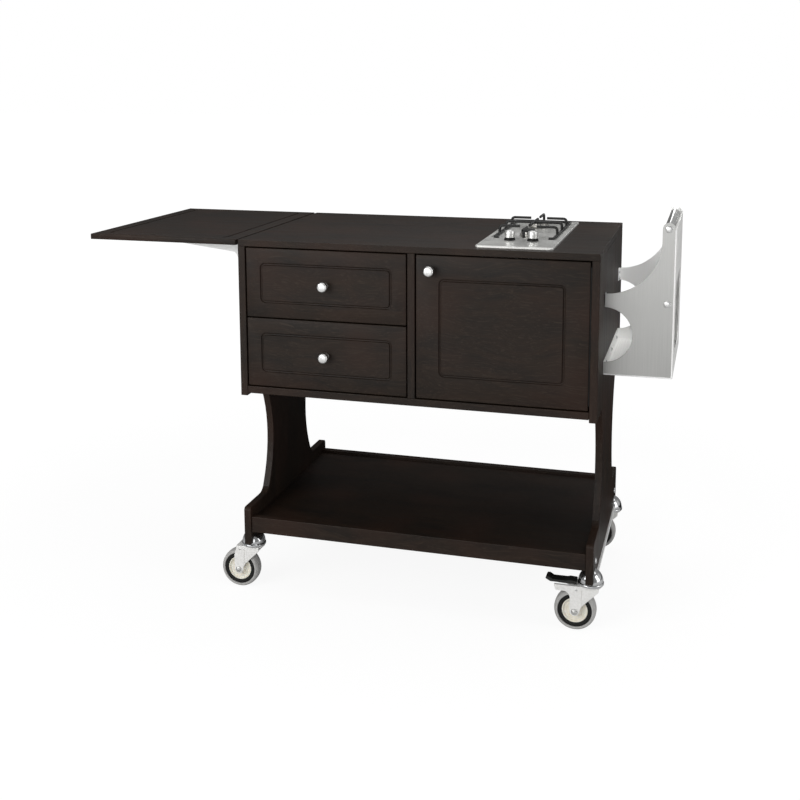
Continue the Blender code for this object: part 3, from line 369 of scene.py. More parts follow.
def turnedMesh(name, profile, place, axis=(0, 0, 1), steps=64, ring=False):
    # Turns (radius, height) points about an axis; ring closes the profile on itself
    shape = bmesh.new()
    rows = []
    angles = [math.tau * step / steps for step in range(steps)]
    for radius, height in profile:
        spots = [(radius * math.cos(angle), radius * math.sin(angle), height) for angle in angles]
        if radius < weld / 2:
            spots = [(0, 0, height)]
        rows.append([shape.verts.new(spot) for spot in spots])
    pairs = list(zip(rows, rows[1:])) + ([(rows[-1], rows[0])] if ring else [])
    for lower, upper in pairs:
        for s in range(steps):
            t = (s + 1) % steps
            below = [lower[s % len(lower)], lower[t % len(lower)]]
            above = [upper[t % len(upper)], upper[s % len(upper)]]
            unique = list(dict.fromkeys(below + above))
            if len(unique) > 2:
                shape.faces.new(unique)
    turn = Vector((0, 0, 1)).rotation_difference(Vector(axis)).to_matrix().to_4x4()
    bmesh.ops.transform(shape, matrix=Matrix.Translation(place) @ turn, verts=shape.verts)
    return meshFrom(shape, name)


def curveShape(name, paths, closed, **settings):
    # Draws paths as one curve with the given settings, such as its thickness, and returns its welded surface
    curve = bpy.data.curves.new(name, "CURVE")
    for setting, value in settings.items():
        setattr(curve, setting, value)
    for path in paths:
        spline = curve.splines.new("POLY")
        spline.points.add(len(path) - 1)
        for point, spot in zip(spline.points, path):
            point.co = (*spot, 1)
        spline.use_cyclic_u = closed
    solid = evaluatedMesh(linked(name, curve))
    shape = bmesh.new()
    shape.from_mesh(solid)
    bmesh.ops.remove_doubles(shape, verts=shape.verts, dist=weld)
    bpy.data.meshes.remove(solid)
    return shape


def sheetMesh(name, loops, low, high, plane="Z", edge=0.0, steps=2):
    # A flat outline between low and high along the plane's axis, its edges rounded by edge
    paths = [[(x, y, 0) for x, y in loop] for loop in loops]
    shape = curveShape(name, paths, True, dimensions="2D", fill_mode="BOTH", extrude=(high - low) / 2 - edge,
                       bevel_depth=edge, bevel_resolution=steps, offset=-edge)
    shift = Vector((0, 0, 0))
    shift["XYZ".index(plane)] = (low + high) / 2
    turn = planeTurns[plane].to_4x4()
    bmesh.ops.transform(shape, matrix=Matrix.Translation(shift) @ turn, verts=shape.verts)
    return meshFrom(shape, name)


def boxMesh(name, low, high, edge=0.0, steps=3):
    shape = bmesh.new()
    low, high = Vector(low), Vector(high)
    bmesh.ops.create_cube(shape, size=1)
    bmesh.ops.scale(shape, vec=high - low, verts=shape.verts)
    bmesh.ops.translate(shape, vec=(low + high) / 2, verts=shape.verts)
    if edge:
        bmesh.ops.bevel(shape, geom=shape.edges, offset=edge, segments=steps, profile=0.5, affect="EDGES")
    return meshFrom(shape, name)


def tubeMesh(name, points, radius, corner=0.0, sides=5, closed=False, bendSteps=6):
    # A round bar along straight runs, its corners bent to a radius
    spots = [Vector(p) for p in points]
    count = len(spots)
    path = []
    for number, here in enumerate(spots):
        if corner <= 0 or (not closed and number in (0, count - 1)):
            path.append(here)
            continue
        before, after = spots[number - 1] - here, spots[(number + 1) % count] - here
        reach = min(corner, before.length * sideShare, after.length * sideShare)
        start, end = here + before.normalized() * reach, here + after.normalized() * reach
        for step in range(bendSteps + 1):
            t = step / bendSteps
            path.append(start * (1 - t) ** 2 + here * 2 * t * (1 - t) + end * t ** 2)
    shape = curveShape(name, [path], closed, dimensions="3D", bevel_depth=radius, bevel_resolution=sides,
                       use_fill_caps=True)
    return meshFrom(shape, name)


def combined(name, *meshes):
    # Puts meshes side by side in one, for details that always stay together
    shape = bmesh.new()
    for mesh in meshes:
        shape.from_mesh(mesh)
        bpy.data.meshes.remove(mesh)
    return meshFrom(shape, name)


def worked(mesh, tools):
    # Cuts the tools out of the mesh
    body = linked("worked", mesh)
    helpers = [linked("tool", tool) for tool in tools]
    for helper in helpers:
        step = body.modifiers.new("step", "BOOLEAN")
        step.operation = "DIFFERENCE"
        step.object = helper
    result = evaluatedMesh(body)
    for helper in helpers:
        bpy.data.objects.remove(helper)
    result.name = mesh.name
    return result


def addPiece(name, mesh, material, body, replaced=(), sharp=35):
    mesh.materials.clear()
    mesh.materials.append(material)
    mesh.shade_smooth()
    mesh.set_sharp_from_angle(angle=math.radians(sharp))
    piece = linked(name, mesh)
    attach(piece, body)
    if replaced:
        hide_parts(*replaced)


def boxOf(node):
    low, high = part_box(node)
    return Vector(low), Vector(high)


def middleOf(node):
    low, high = boxOf(node)
    return (low + high) / 2


# Drawer fronts, door and leaf: boards with eased edges and a routed cove, set in from the board's edges
frontLook = {"edge": 1.6 * mm, "coveRadius": 3.4 * mm, "coveDepth": 3.2 * mm, "corner": 10 * mm}
coves = {
    "upper_drawer_front": ("upper_drawer", "Y", 39 * mm, 39 * mm),
    "lower_drawer_front": ("lower_drawer", "Y", 39 * mm, 39 * mm),
    "door_panel": ("door", "Y", 58 * mm, 58 * mm),
    "leaf_panel": ("leaf", "Z", 38 * mm, 30 * mm),
}


def addCovedBoard(node, body, plane, insetX, insetOther, look=frontLook):
    low, high = boxOf(node)
    board = boxMesh(node + "_board", low, high, look["edge"])
    other = 2 if plane == "Y" else 1
    pathLow = (low.x + insetX, low[other] + insetOther)
    pathHigh = (high.x - insetX, high[other] - insetOther)
    path = roundedLoop(pathLow, pathHigh, look["corner"])
    lift = look["coveRadius"] - look["coveDepth"]
    if plane == "Y":
        points = [(x, low.y - lift, z) for x, z in path]
    else:
        points = [(x, y, high.z + lift) for x, y in path]
    cove = tubeMesh("cove", points, look["coveRadius"], sides=6, closed=True)
    addPiece(node + "_routed", worked(board, [cove]), woodAlongX, body, [node], sharp=30)


for node, (body, plane, insetX, insetOther) in coves.items():
    addCovedBoard(node, body, plane, insetX, insetOther)
print("fronts and leaf made")

# Round front knobs, turned and chromed: base on the board, waisted neck, domed head
knobLook = {
    "headRadius": 12.5 * mm, "neckRadius": 7.8 * mm, "baseRadius": 9.4 * mm, "baseHeight": 1.8 * mm,
    "neckStart": 5 * mm, "neckEnd": 8.5 * mm, "headStart": 12.5 * mm, "headEnd": 24.5 * mm, "reach": 26 * mm,
}


def addFrontKnob(node, body, look=knobLook):
    middle = middleOf(node)
    place = (middle.x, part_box(node)[1][1], middle.z)
    head, neck, base, reach = look["headRadius"], look["neckRadius"], look["baseRadius"], look["reach"]
    profile = filletPath([
        (0, 0, 0), (base, 0, 0.4 * mm), (base, look["baseHeight"], 0.6 * mm),
        (neck, look["neckStart"], 3 * mm), (neck, look["neckEnd"], 2.5 * mm),
        (head, look["headStart"], 3 * mm), (head, look["headEnd"], 5 * mm), (0, reach, 0)], steps=8)
    profile[-1] = (0, reach - 0.05 * mm)
    knob = turnedMesh(node, profile, place, (0, -1, 0), 72)
    addPiece(node + "_turned", knob, chromeSoft, body, [node], sharp=50)


for body in ("upper_drawer", "lower_drawer", "door"):
    addFrontKnob(body + "_knob", body)
print("front knobs made")

# Bottle rack: sheet cheeks cut by two round scoops, a folded tray and plate, and a bright top rail
rackLook = {
    "metal": 2 * mm, "edge": 0.5 * mm, "bend": 3 * mm, "foldRadius": 1.9 * mm, "foldGap": 0.3 * mm,
    "scoopRadius": 128 * mm, "scoopRise": 18 * mm, "biteRadius": 66 * mm, "tab": 32 * mm,
    "tabFlange": 22 * mm, "windowSide": 60 * mm, "windowTop": 150 * mm, "windowHeight": 180 * mm,
    "windowCorner": 18 * mm, "plateCorner": 2.5 * mm, "railEase": 3 * mm,
    "screwRadius": 5 * mm, "tabScrews": (0.25, 0.75), "trayScrews": (0.14, 0.5, 0.86),
    "boltRadius": 8.4 * mm, "boltInset": 14 * mm, "boltRise": 177 * mm,
}
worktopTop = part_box("worktop")[1][2]


def domeHead(place, radius, axis, rise=0.45):
    # Low round head of a bolt, a rivet or an acorn nut; rise is its height as a share of its radius
    profile = [(radius, 0)]
    for step in range(8):
        angle = step * math.pi / 16
        profile.append((radius * math.cos(angle), radius * rise * (0.35 + 0.65 * math.sin(angle))))
    profile.append((0, radius * rise))
    return turnedMesh("dome_head", profile, place, axis, 32)


def panScrew(place, radius, axis):
    # Pan head with a cross recess
    out = Vector(axis)
    side = out.orthogonal().normalized()
    middle = Vector(place) + out * radius * 1.28
    tools = []
    for arm in (side, out.cross(side)):
        half = arm * radius * 0.52 + out.cross(arm) * radius * 0.09
        reach = Vector([abs(half[n]) + abs(out[n]) * radius for n in range(3)])
        tools.append(boxMesh("recess", middle - reach, middle + reach))
    return worked(domeHead(place, radius, axis, 0.6), tools)


def addScrews(name, places, radius, axis, material, body):
    screws = [panScrew(place, radius, axis) for place in places]
    addPiece(name, combined("screws", *screws), material, body)


def addCheek(node, look=rackLook):
    low, high = boxOf(node)
    metal, scoop, bite, tab = look["metal"], look["scoopRadius"], look["biteRadius"], look["tab"]
    scoopCentre = worktopTop + look["scoopRise"]
    tabTop = scoopCentre - scoop
    biteCentre = tabTop - tab - bite
    lobe = (high.x - low.x - scoop) / 2
    lobeCentre = (low.x + scoop + lobe, high.z - lobe)
    loop = arcPoints((low.x, scoopCentre), scoop, 0, -90, 40)
    loop += arcPoints((low.x, biteCentre), bite, 90, -90, 40) + [(low.x, low.z), (high.x, low.z)]
    loop += arcPoints(lobeCentre, lobe, 0, 180, 24)
    isFront = node.endswith("front")
    outer, inward = (low.y, 1) if isFront else (high.y, -1)
    inner = outer + inward * metal
    sheet = sheetMesh(node, [loop], min(outer, inner), max(outer, inner), "Y", look["edge"])
    flange = boxMesh("flange", (low.x, low.y, tabTop - tab), (low.x + metal, high.y, tabTop), look["edge"])
    cheek = combined(node, sheet, flange)
    # The far cheek takes the painted-lit copy of the steel, a painted stand-in for the light that falls on
    # it
    finish = steelAlongZ if isFront else steelPaintedLit
    addPiece(node + "_sheet", cheek, finish, "cabinet", [node], sharp=12)
    screwY = inner + inward * look["tabFlange"] * 0.52
    places = [(low.x + metal, screwY, tabTop - tab * share) for share in look["tabScrews"]]
    name, radius = node + "_tab_screws", look["screwRadius"]
    addScrews(name, places, radius, (1, 0, 0), chrome, "cabinet")
    if isFront:
        spots = (lobeCentre, (high.x - look["boltInset"], low.z + look["boltRise"]))
        heads = [domeHead((x, low.y, z), look["boltRadius"], (0, -1, 0)) for x, z in spots]
        addPiece(node + "_bolt_heads", combined("heads", *heads), chromeSoft, "cabinet")


def addTray(look=rackLook):
    low, high = boxOf("rack_tray")
    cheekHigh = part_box("rack_cheek_front")[1]
    metal, bend, side = look["metal"], look["bend"], look["windowSide"]
    biteLow = worktopTop + look["scoopRise"] - look["scoopRadius"] - look["tab"] - 2 * look["biteRadius"]
    end = cheekHigh[0] + metal
    outer = [(low.x, biteLow, 0), (low.x, low.z, bend), (end, low.z, 0)]
    x, z, inset = low.x + metal, low.z + metal, metal + look["foldGap"]
    inner = [(end, z, 0), (x, z, bend - metal), (x, biteLow, 0)]
    loop = filletPath(outer, 6) + filletPath(inner, 6)
    fold = sheetMesh("fold", [loop], low.y + inset, high.y - inset, "Y", 0.3 * mm)
    windowHigh = cheekHigh[2] - look["windowTop"]
    windowLow = windowHigh - look["windowHeight"]
    window = roundedLoop((low.y + side, windowLow), (high.y - side, windowHigh), look["windowCorner"])
    face = roundedLoop((low.y, low.z), (high.y, high.z), look["plateCorner"], 4)
    plate = sheetMesh("plate", [face, window], high.x - metal, high.x, "X", look["edge"])
    tray = combined("tray", fold, plate)
    # The tray takes the paler, painted-lit copy of the steel
    addPiece("rack_tray_folded", tray, steelAlongYPaintedLit, "cabinet", ["rack_tray"], sharp=16)
    screwHeight = (low.z + biteLow) / 2 + 2 * mm
    places = [(x, low.y + (high.y - low.y) * share, screwHeight) for share in look["trayScrews"]]
    radius = look["screwRadius"]
    addScrews("rack_tray_screws", places, radius, (1, 0, 0), chrome, "cabinet")


def addTopRail(look=rackLook):
    low, high = boxOf("rack_top_rail")
    middle = (low + high) / 2
    radius, length, ease = (high.x - low.x) / 2, high.y - low.y, look["railEase"]
    profile = filletPath([(0, 0, 0), (radius, 0, ease), (radius, length, ease), (0, length, 0)], 8)
    rail = turnedMesh("rail", profile, (middle.x, low.y, middle.z), (0, 1, 0), 96)
    addPiece("rack_top_rail_polished", rail, steelRail, "cabinet", ["rack_top_rail"])


def addRackBends(look=rackLook):
    # The folds where cheek, plate and floor meet, in the near-white painted-lit steel: a painted highlight
    # along each bend
    low, high = boxOf("rack_tray")
    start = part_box("rack_cheek_front")[0][0] + look["metal"]
    radius = look["foldRadius"]
    x, z = high.x - radius, low.z + radius - 0.2 * mm
    bends = []
    for y in (low.y + radius - 0.6 * mm, high.y - radius + 0.6 * mm):
        spots = [(start, y, z), (x, y, z), (x, y, high.z - 1 * mm)]
        bends.append(tubeMesh("bend", spots, radius, look["bend"]))
    addPiece("rack_bends_painted_highlight", combined("bends", *bends), steelPaintedLit, "cabinet", sharp=60)


for cheek in named("rack_cheek", ends):
    addCheek(cheek)
addTray()
addTopRail()
addRackBends()
print("rack made")

# Hob: pressed deck with a sunk burner field, dished round each burner
hobLook = {
    "deck": 5 * mm, "corner": 9 * mm, "rim": 2.6 * mm, "wellDepth": 2.5 * mm, "wellInset": 11 * mm,
    "wellFront": 128 * mm, "wellCorner": 12 * mm, "wellEdge": 1.8 * mm, "dishDepth": 1.3 * mm,
    "dishRadius": 50 * mm, "skirtInset": 12.8 * mm, "metal": 1.2 * mm, "stemHole": 3.4 * mm,
}


def addHobDeck(look=hobLook):
    low, high = boxOf("hob_deck")
    under, floor = high.z - look["deck"], high.z - look["wellDepth"]
    outline = roundedLoop((low.x, low.y), (high.x, high.y), look["corner"])
    deck = sheetMesh("deck", [outline], under - 3 * mm, high.z, "Z", look["rim"], 4)
    inset = look["wellInset"]
    wellLow, wellHigh = (low.x + inset, low.y + look["wellFront"]), (high.x - inset, high.y - inset)
    well = roundedLoop(wellLow, wellHigh, look["wellCorner"])
    tools = [sheetMesh("well", [well], floor, high.z + 4 * mm, "Z", look["wellEdge"], 4)]
    past = 10 * mm
    underLow, underHigh = (low.x - past, low.y - past, under - past), (high.x + past, high.y + past, under)
    tools.append(boxMesh("under", underLow, underHigh))
    dish = [(0, -look["dishDepth"])]
    for share in (0.5, 0.7, 0.82, 0.9, 0.96, 1):
        dish.append((look["dishRadius"] * share, look["dishDepth"] * (share ** 4 - 1)))
    dish += [(look["dishRadius"], 1 * mm), (0, 1 * mm)]
    for end in ends:
        spot = middleOf("burner_" + end)
        tools.append(turnedMesh("dish", dish, (spot.x, spot.y, floor), steps=72))
    hole = [(0, -past), (look["stemHole"], -past), (look["stemHole"], past), (0, past)]
    for side in sides:
        stem = middleOf("valve_stem_" + side)
        tools.append(turnedMesh("hole", hole, (stem.x, stem.y, high.z), steps=32))
    edge, skirtTop = look["skirtInset"], under + 0.5 * mm
    skirtHigh = (high.x - edge, high.y - edge, skirtTop)
    skirt = boxMesh("skirt", (low.x + edge, low.y + edge, low.z), skirtHigh, 1 * mm)
    wall, past = edge + look["metal"], 5 * mm
    hollowHigh = (high.x - wall, high.y - wall, skirtTop + past)
    hollow = boxMesh("hollow", (low.x + wall, low.y + wall, low.z - past), hollowHigh)
    hob = combined("hob", worked(deck, tools), worked(skirt, [hollow]))
    addPiece("hob_deck_pressed", hob, steelAlongX, "cabinet", ["hob_deck"], sharp=14)


burnerLook = {"height": 10 * mm, "throat": 0.55, "slits": 20, "slitHalf": 0.7 * mm}


def addBurner(end, look=burnerLook):
    low, high = boxOf("burner_" + end)
    middle = (low + high) / 2
    radius, height = (high.x - low.x) / 2, look["height"]
    seat = high.z - height
    throat, root = radius * look["throat"], low.z - seat
    profile = filletPath([
        (0, root, 0), (throat, root, 0), (throat, -0.2 * mm, 0), (radius, 0, 1 * mm),
        (radius, height * 0.5, 1 * mm), (radius - height * 0.3, height * 0.62, 1 * mm),
        (radius - height * 0.33, height, 0.5 * mm), (0, height, 0)], 4)
    crown = turnedMesh("burner", profile, (middle.x, middle.y, seat), steps=96)
    slitLow = (radius * 0.45, -look["slitHalf"], height * 0.68)
    slitHigh = (radius * 1.1, look["slitHalf"], height * 1.2)
    slits = []
    for number in range(look["slits"]):
        slit = boxMesh("slit", slitLow, slitHigh)
        turn = Matrix.Rotation(math.tau * number / look["slits"], 4, "Z")
        slit.transform(Matrix.Translation((middle.x, middle.y, seat)) @ turn)
        slits.append(slit)
    burner = worked(crown, [combined("slits", *slits)])
    addPiece("burner_" + end + "_cast", burner, alloy, "cabinet", ["burner_" + end])

    capName = "burner_cap_" + end
    low, high = boxOf(capName)
    brim, rise = (high.x - low.x) / 2, high.z - low.z
    profile = filletPath([
        (0, 0, 0), (brim * 0.94, 0, 0.5 * mm), (brim, rise * 0.35, 1 * mm),
        (brim * 0.92, rise * 0.9, 2 * mm), (brim * 0.45, rise, 4 * mm), (0, rise, 0)], 5)
    cap = turnedMesh("cap", profile, (middle.x, middle.y, low.z), steps=72)
    addPiece(capName + "_enamelled", cap, enamel, end + "_burner_cap", [capName], sharp=50)


supportLook = {"wire": 3.4 * mm, "bend": 9 * mm, "frameBend": 7 * mm, "near": 21 * mm, "turnIn": 11 * mm}


def addPanSupport(look=supportLook):
    # Bent wire: a frame open at the front, arms over each burner, a hoop between them and fingers lengthways
    low, high = boxOf("pan_support")
    wire, bend, near, turnIn = look["wire"], look["bend"], look["near"], look["turnIn"]
    left, right, bottom, top = low.x + wire, high.x - wire, low.z + wire, high.z - wire
    front, back = low.y + wire, high.y - wire
    frontSpot, rearSpot = middleOf("burner_front").y, middleOf("burner_rear").y
    middle, centre = (frontSpot + rearSpot) / 2, (left + right) / 2
    corners = [(left + turnIn, front), (left, front), (left, back),
               (right, back), (right, front), (right - turnIn, front)]
    meshes = [tubeMesh("frame", [(x, y, bottom) for x, y in corners], wire, look["frameBend"])]
    for y in (frontSpot, rearSpot):
        for side, edge in ((-1, left), (1, right)):
            arm = [(edge, y, bottom), (edge, y, top), (centre + side * near, y, top)]
            meshes.append(tubeMesh("arm", arm, wire, bend))
    hoop = [(left, middle, bottom), (left, middle, top), (right, middle, top), (right, middle, bottom)]
    meshes.append(tubeMesh("hoop", hoop, wire, bend))
    for edge, end in ((front, frontSpot - near), (back, rearSpot + near)):
        finger = [(centre, edge, bottom), (centre, edge, top), (centre, end, top)]
        meshes.append(tubeMesh("finger", finger, wire, bend))
    link = [(centre, frontSpot + near, top), (centre, rearSpot - near, top)]
    meshes.append(tubeMesh("finger", link, wire))
    wires, body = combined("support", *meshes), "pan_support_grid"
    addPiece("pan_support_wire", wires, enamel, body, ["pan_support"], sharp=60)


gasKnobLook = {
    "heightShare": 0.86, "gripHalf": 5.6 * mm, "gripCorner": 1.6 * mm, "stemRadius": 3 * mm,
    "collar": 2.5 * mm, "collarGap": 0.4 * mm, "gasketOut": 0.9 * mm, "gasketHeight": 3.6 * mm,
}


def addGasKnob(side, look=gasKnobLook):
    # The knob with its two finger flats, a ring on the deck round it, the valve's stem and collar under it
    knobName, stemName, body = "hob_knob_" + side, "valve_stem_" + side, side + "_gas_knob"
    low, high = boxOf(knobName)
    middle = (low + high) / 2
    radius, height = (high.x - low.x) / 2, (high.z - low.z) * look["heightShare"]
    profile = filletPath([
        (0, 0, 0), (radius * 0.96, 0, 0.6 * mm), (radius, height * 0.5, 8 * mm),
        (radius * 0.92, height * 0.97, 4 * mm), (0, height, 0)], 7)
    profile[-1] = (0, height * 0.99)
    knob = turnedMesh("knob", profile, (middle.x, middle.y, low.z), steps=72)
    gripLow, gripHigh, gripSide = low.z + height * 0.86, high.z + 3 * mm, radius * 1.2
    grips = []
    for hand in (-1, 1):
        near, far = sorted((middle.x + hand * look["gripHalf"], middle.x + hand * (radius + 4 * mm)))
        gripCorners = (near, middle.y - gripSide, gripLow), (far, middle.y + gripSide, gripHigh)
        grips.append(boxMesh("grip", *gripCorners, look["gripCorner"], 5))
    knob = worked(knob, grips)
    addPiece(knobName + "_turned", knob, knobMetal, body, [knobName], sharp=50)

    outer, rise = radius + look["gasketOut"], look["gasketHeight"]
    profile = filletPath([
        (radius, 0, 0), (outer, 0, 0.3 * mm), (outer - 0.2 * mm, rise, 0.3 * mm), (radius, rise, 0.3 * mm)],
        4, closed=True)
    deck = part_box("hob_deck")[1][2]
    gasket = turnedMesh("gasket", profile, (middle.x, middle.y, deck), steps=64, ring=True)
    addPiece("knob_gasket_" + side, gasket, nylon, "cabinet", sharp=50)

    low, high = boxOf(stemName)
    brim, thin, collar = radius - look["collarGap"], look["stemRadius"], high.z - look["collar"]
    profile = filletPath([
        (0, low.z, 0), (thin, low.z, 0.3 * mm), (thin, collar, 0),
        (brim, collar, 0.7 * mm), (brim, high.z, 0.7 * mm), (0, high.z, 0)], 4)
    stem = turnedMesh("stem", profile, (middle.x, middle.y, 0), steps=48)
    addPiece(stemName + "_moulded", stem, nylon, side + "_valve", [stemName], sharp=50)


addHobDeck()
for end in ends:
    addBurner(end)
addPanSupport()
for side in sides:
    addGasKnob(side)
print("hob made")

# Casters: chrome dome and collar on the foot, pressed fork, cream hub, black ring and grey ridged tyre
casterLook = {
    "collarHeight": 9 * mm, "slotGap": 0.3 * mm, "trail": 35 * mm, "forkInside": 19.5 * mm,
    "forkOutside": 22 * mm, "legEnd": 11.5 * mm, "nose": 21 * mm, "pedalBack": 84 * mm,
    "crownRadius": 27 * mm, "crownMetal": 3.5 * mm, "nut": 7 * mm, "rivet": 2.8 * mm, "rivetRise": 55 * mm,
}
# Sections of one half of the wheel: radius in mm, height as a share of the half width
wheelLook = {
    "half": 17 * mm,
    "tyre": ((40.8, 0.86), (41.7, 0.96), (43.1, 0.985), (44.7, 0.96), (45.2, 0.915), (45.7, 0.945),
             (46.9, 0.89), (48.6, 0.72), (49.6, 0.48), (50, 0.22)),
    "ring": ((30.6, 0.7), (31, 0.8), (33, 0.84), (39, 0.86), (40.5, 0.84)),
    "centre": ((4.4, 1.1), (11.4, 1.1), (12, 1.06), (12.6, 0.62), (14, 0.56), (19, 0.56), (19.7, 0.62),
               (21.3, 0.62), (22, 0.56), (26.4, 0.58), (27.6, 0.78), (28.4, 0.82), (30.5, 0.8)),
}


def addDome(corner, look=casterLook):
    # Slotted from above, where the end panel's foot stands in it
    node = "caster_dome_" + corner
    low, high = boxOf(node)
    panelLow, panelHigh = boxOf("end_panel_right")
    middle = (low + high) / 2
    radius, collar = (high.x - low.x) / 2, look["collarHeight"]
    rise = high.z - low.z - collar
    profile = filletPath([
        (0, 0, 0), (radius * 0.84, 0, 1 * mm), (radius, 1.6 * mm, 2.5 * mm),
        (radius, collar * 0.75, 2 * mm), (radius * 0.93, collar, 1 * mm)], 5)
    for degrees in range(3, 90, 3):
        angle = math.radians(degrees)
        profile.append((radius * 0.95 * math.cos(angle), collar + rise * math.sin(angle)))
    profile.append((0, collar + rise))
    dome = turnedMesh("dome", profile, (middle.x, middle.y, low.z), steps=96)
    half = (panelHigh.x - panelLow.x) / 2 + look["slotGap"]
    slotLow = (middle.x - half, low.y - 5 * mm, panelLow.z - look["slotGap"])
    slot = boxMesh("slot", slotLow, (middle.x + half, high.y + 5 * mm, high.z + 5 * mm))
    addPiece(node + "_plated", worked(dome, [slot]), chrome, "cabinet", [node], sharp=50)


def forkOutline(top, axle, hasPedal, look=casterLook):
    # Side view about the swivel's axis: round foot at the axle, shin up to the nose, arch back to the roof
    trail, end, nose = look["trail"], look["legEnd"], look["nose"]
    back = look["pedalBack"] if hasPedal else trail + end - 6 * mm
    foot = arcPoints((-trail, axle), end, 190, 345, 20)
    shin = [(*foot[-1], 0), (-trail + end + 4 * mm, axle + 13 * mm, 20 * mm),
            (nose, top - 10 * mm, 5 * mm), (nose, top - 0.4 * mm, 2 * mm)]
    arch = [(-back, top - 0.4 * mm, 1.5 * mm), (-back, top - 5 * mm, 2 * mm)]
    if hasPedal:
        arch += [(-back + 4 * mm, top - 14.5 * mm, 3 * mm), (-trail - end - 7 * mm, top - 15 * mm, 12 * mm)]
    arch += [(-trail - end - 0.2 * mm, top - 27 * mm, 16 * mm), (*foot[0], 0)]
    return foot + filletPath(shin, 6)[1:] + filletPath(arch, 6)[:-1]


def addFork(corner, hasPedal, look=casterLook):
    node = "caster_fork_" + corner
    x, y = middleOf("caster_dome_" + corner)[:2]
    top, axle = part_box("caster_dome_" + corner)[0][2] - 0.3 * mm, middleOf("tyre_" + corner).z
    inside, outside, metal = look["forkInside"], look["forkOutside"], look["crownMetal"]
    under = top - metal
    outline = [(x + along, height) for along, height in forkOutline(top, axle, hasPedal)]
    channel = sheetMesh("fork", [outline], y - outside, y + outside, "Y", 1.4 * mm, 4)
    hollowHigh = (x + 60 * mm, y + inside, under - 0.6 * mm)
    tools = [boxMesh("hollow", (x - 120 * mm, y - inside, 0), hollowHigh, 1.2 * mm)]
    for face in (y - outside, y + outside):
        creaseLow = (x - 19.6 * mm, face - 1.5 * mm, axle + 2 * mm)
        creaseHigh = (x - 16.8 * mm, face + 1.5 * mm, top - 6 * mm)
        tools.append(boxMesh("crease", creaseLow, creaseHigh, 0.3 * mm))
    if hasPedal:
        # The long roof is open under the pedal, which sinks between its edges
        openingLow = (x - look["pedalBack"] - 10 * mm, y - 15 * mm, under - 6 * mm)
        openingHigh = (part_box("brake_pedal")[1][0] + 1.5 * mm, y + 15 * mm, top + 5 * mm)
        tools.append(boxMesh("opening", openingLow, openingHigh))
    radius = look["crownRadius"]
    profile = filletPath([(0, -metal, 0), (radius, -metal, 1.6 * mm), (radius, 0, 1 * mm), (0, 0, 0)], 5)
    crown = turnedMesh("crown", profile, (x, y, top), steps=72)
    fork = combined("fork", worked(channel, tools), crown)
    addPiece(node + "_pressed", fork, zinc, "fork_" + corner, [node], sharp=16)

    nut, axleX = look["nut"], x - look["trail"]
    disc = filletPath([(0, 0, 0), (nut * 1.15, 0, 0), (nut * 1.15, 1.2 * mm, 0.5 * mm), (0, 1.2 * mm, 0)], 3)
    hexagon = filletPath([
        (0, 0, 0), (nut, 0, 0), (nut, 4 * mm, 0.6 * mm),
        (nut * 0.5, 4.6 * mm, 0.6 * mm), (0, 4.6 * mm, 0)], 3)
    fittings = []
    for side in (-1, 1):
        face, out = y + side * outside, (0, side, 0)
        fittings.append(turnedMesh("washer", disc, (axleX, face, axle), out, 48))
        fittings.append(turnedMesh("nut", hexagon, (axleX, face, axle), out, 6))
        fittings.append(domeHead((axleX, face + side * 4.2 * mm, axle), 3.4 * mm, out, 0.5))
        fittings.append(domeHead((axleX + 4 * mm, face, axle + look["rivetRise"]), look["rivet"], out))
    bolts = combined("bolts", *fittings)
    addPiece("caster_bolts_" + corner, bolts, boltSteel, "fork_" + corner, sharp=30)


def wheelMesh(part, spot, steps, look=wheelLook):
    half = [(radius * mm, share * look["half"]) for radius, share in look[part]]
    section = [(radius, -height) for radius, height in half] + half[::-1]
    return turnedMesh(part, section, spot, (0, 1, 0), steps, ring=True)


def addWheel(corner):
    spot, body, core = middleOf("tyre_" + corner), "wheel_" + corner, "wheel_core_" + corner
    tyre = wheelMesh("tyre", spot, 128)
    addPiece("tyre_" + corner + "_moulded", tyre, rubber, body, ["tyre_" + corner], sharp=28)
    ring = wheelMesh("ring", spot, 128)
    addPiece("wheel_ring_" + corner, ring, nylon, body, sharp=40)
    centre = wheelMesh("centre", spot, 96)
    addPiece("wheel_centre_" + corner, centre, cream, body, [core], sharp=40)


pedalLook = {"half": 14 * mm, "grooves": 5, "start": 22 * mm, "step": 4.6 * mm, "width": 1.6 * mm}


def addPedal(look=pedalLook):
    low, high = boxOf("brake_pedal")
    middle, half = (low.y + high.y) / 2, look["half"]
    root, tip = low.z + 0.2 * mm, high.z
    side = [
        (high.x, root, 1 * mm), (high.x, root + 7.5 * mm, 2 * mm),
        (high.x - 17 * mm, root + 8.4 * mm, 4 * mm), (high.x - 24 * mm, root + 6.4 * mm, 3 * mm),
        (low.x + 18 * mm, root + 6.2 * mm, 4 * mm),
        (low.x + 9 * mm, tip, 1.5 * mm), (low.x + 3 * mm, tip - 0.4 * mm, 1.2 * mm),
        (low.x, tip - 5 * mm, 1.5 * mm), (low.x + 12 * mm, root + 0.4 * mm, 4 * mm)]
    outline = filletPath(side, 5, closed=True)
    pedal = sheetMesh("pedal", [outline], middle - half, middle + half, "Y", 1 * mm, 3)
    grooves = []
    for number in range(look["grooves"]):
        x = low.x + look["start"] + number * look["step"]
        grooveHigh = (x + look["width"], middle + half * 0.8, tip + 2 * mm)
        grooves.append(boxMesh("groove", (x, middle - half * 0.8, root + 5.3 * mm), grooveHigh))
    pedal = worked(pedal, grooves)
    addPiece("brake_pedal_moulded", pedal, pedalBlack, "brake", ["brake_pedal"], sharp=40)


for corner in corners:
    addDome(corner)
    addFork(corner, corner == "front_right")
    addWheel(corner)
addPedal()
print("casters made")
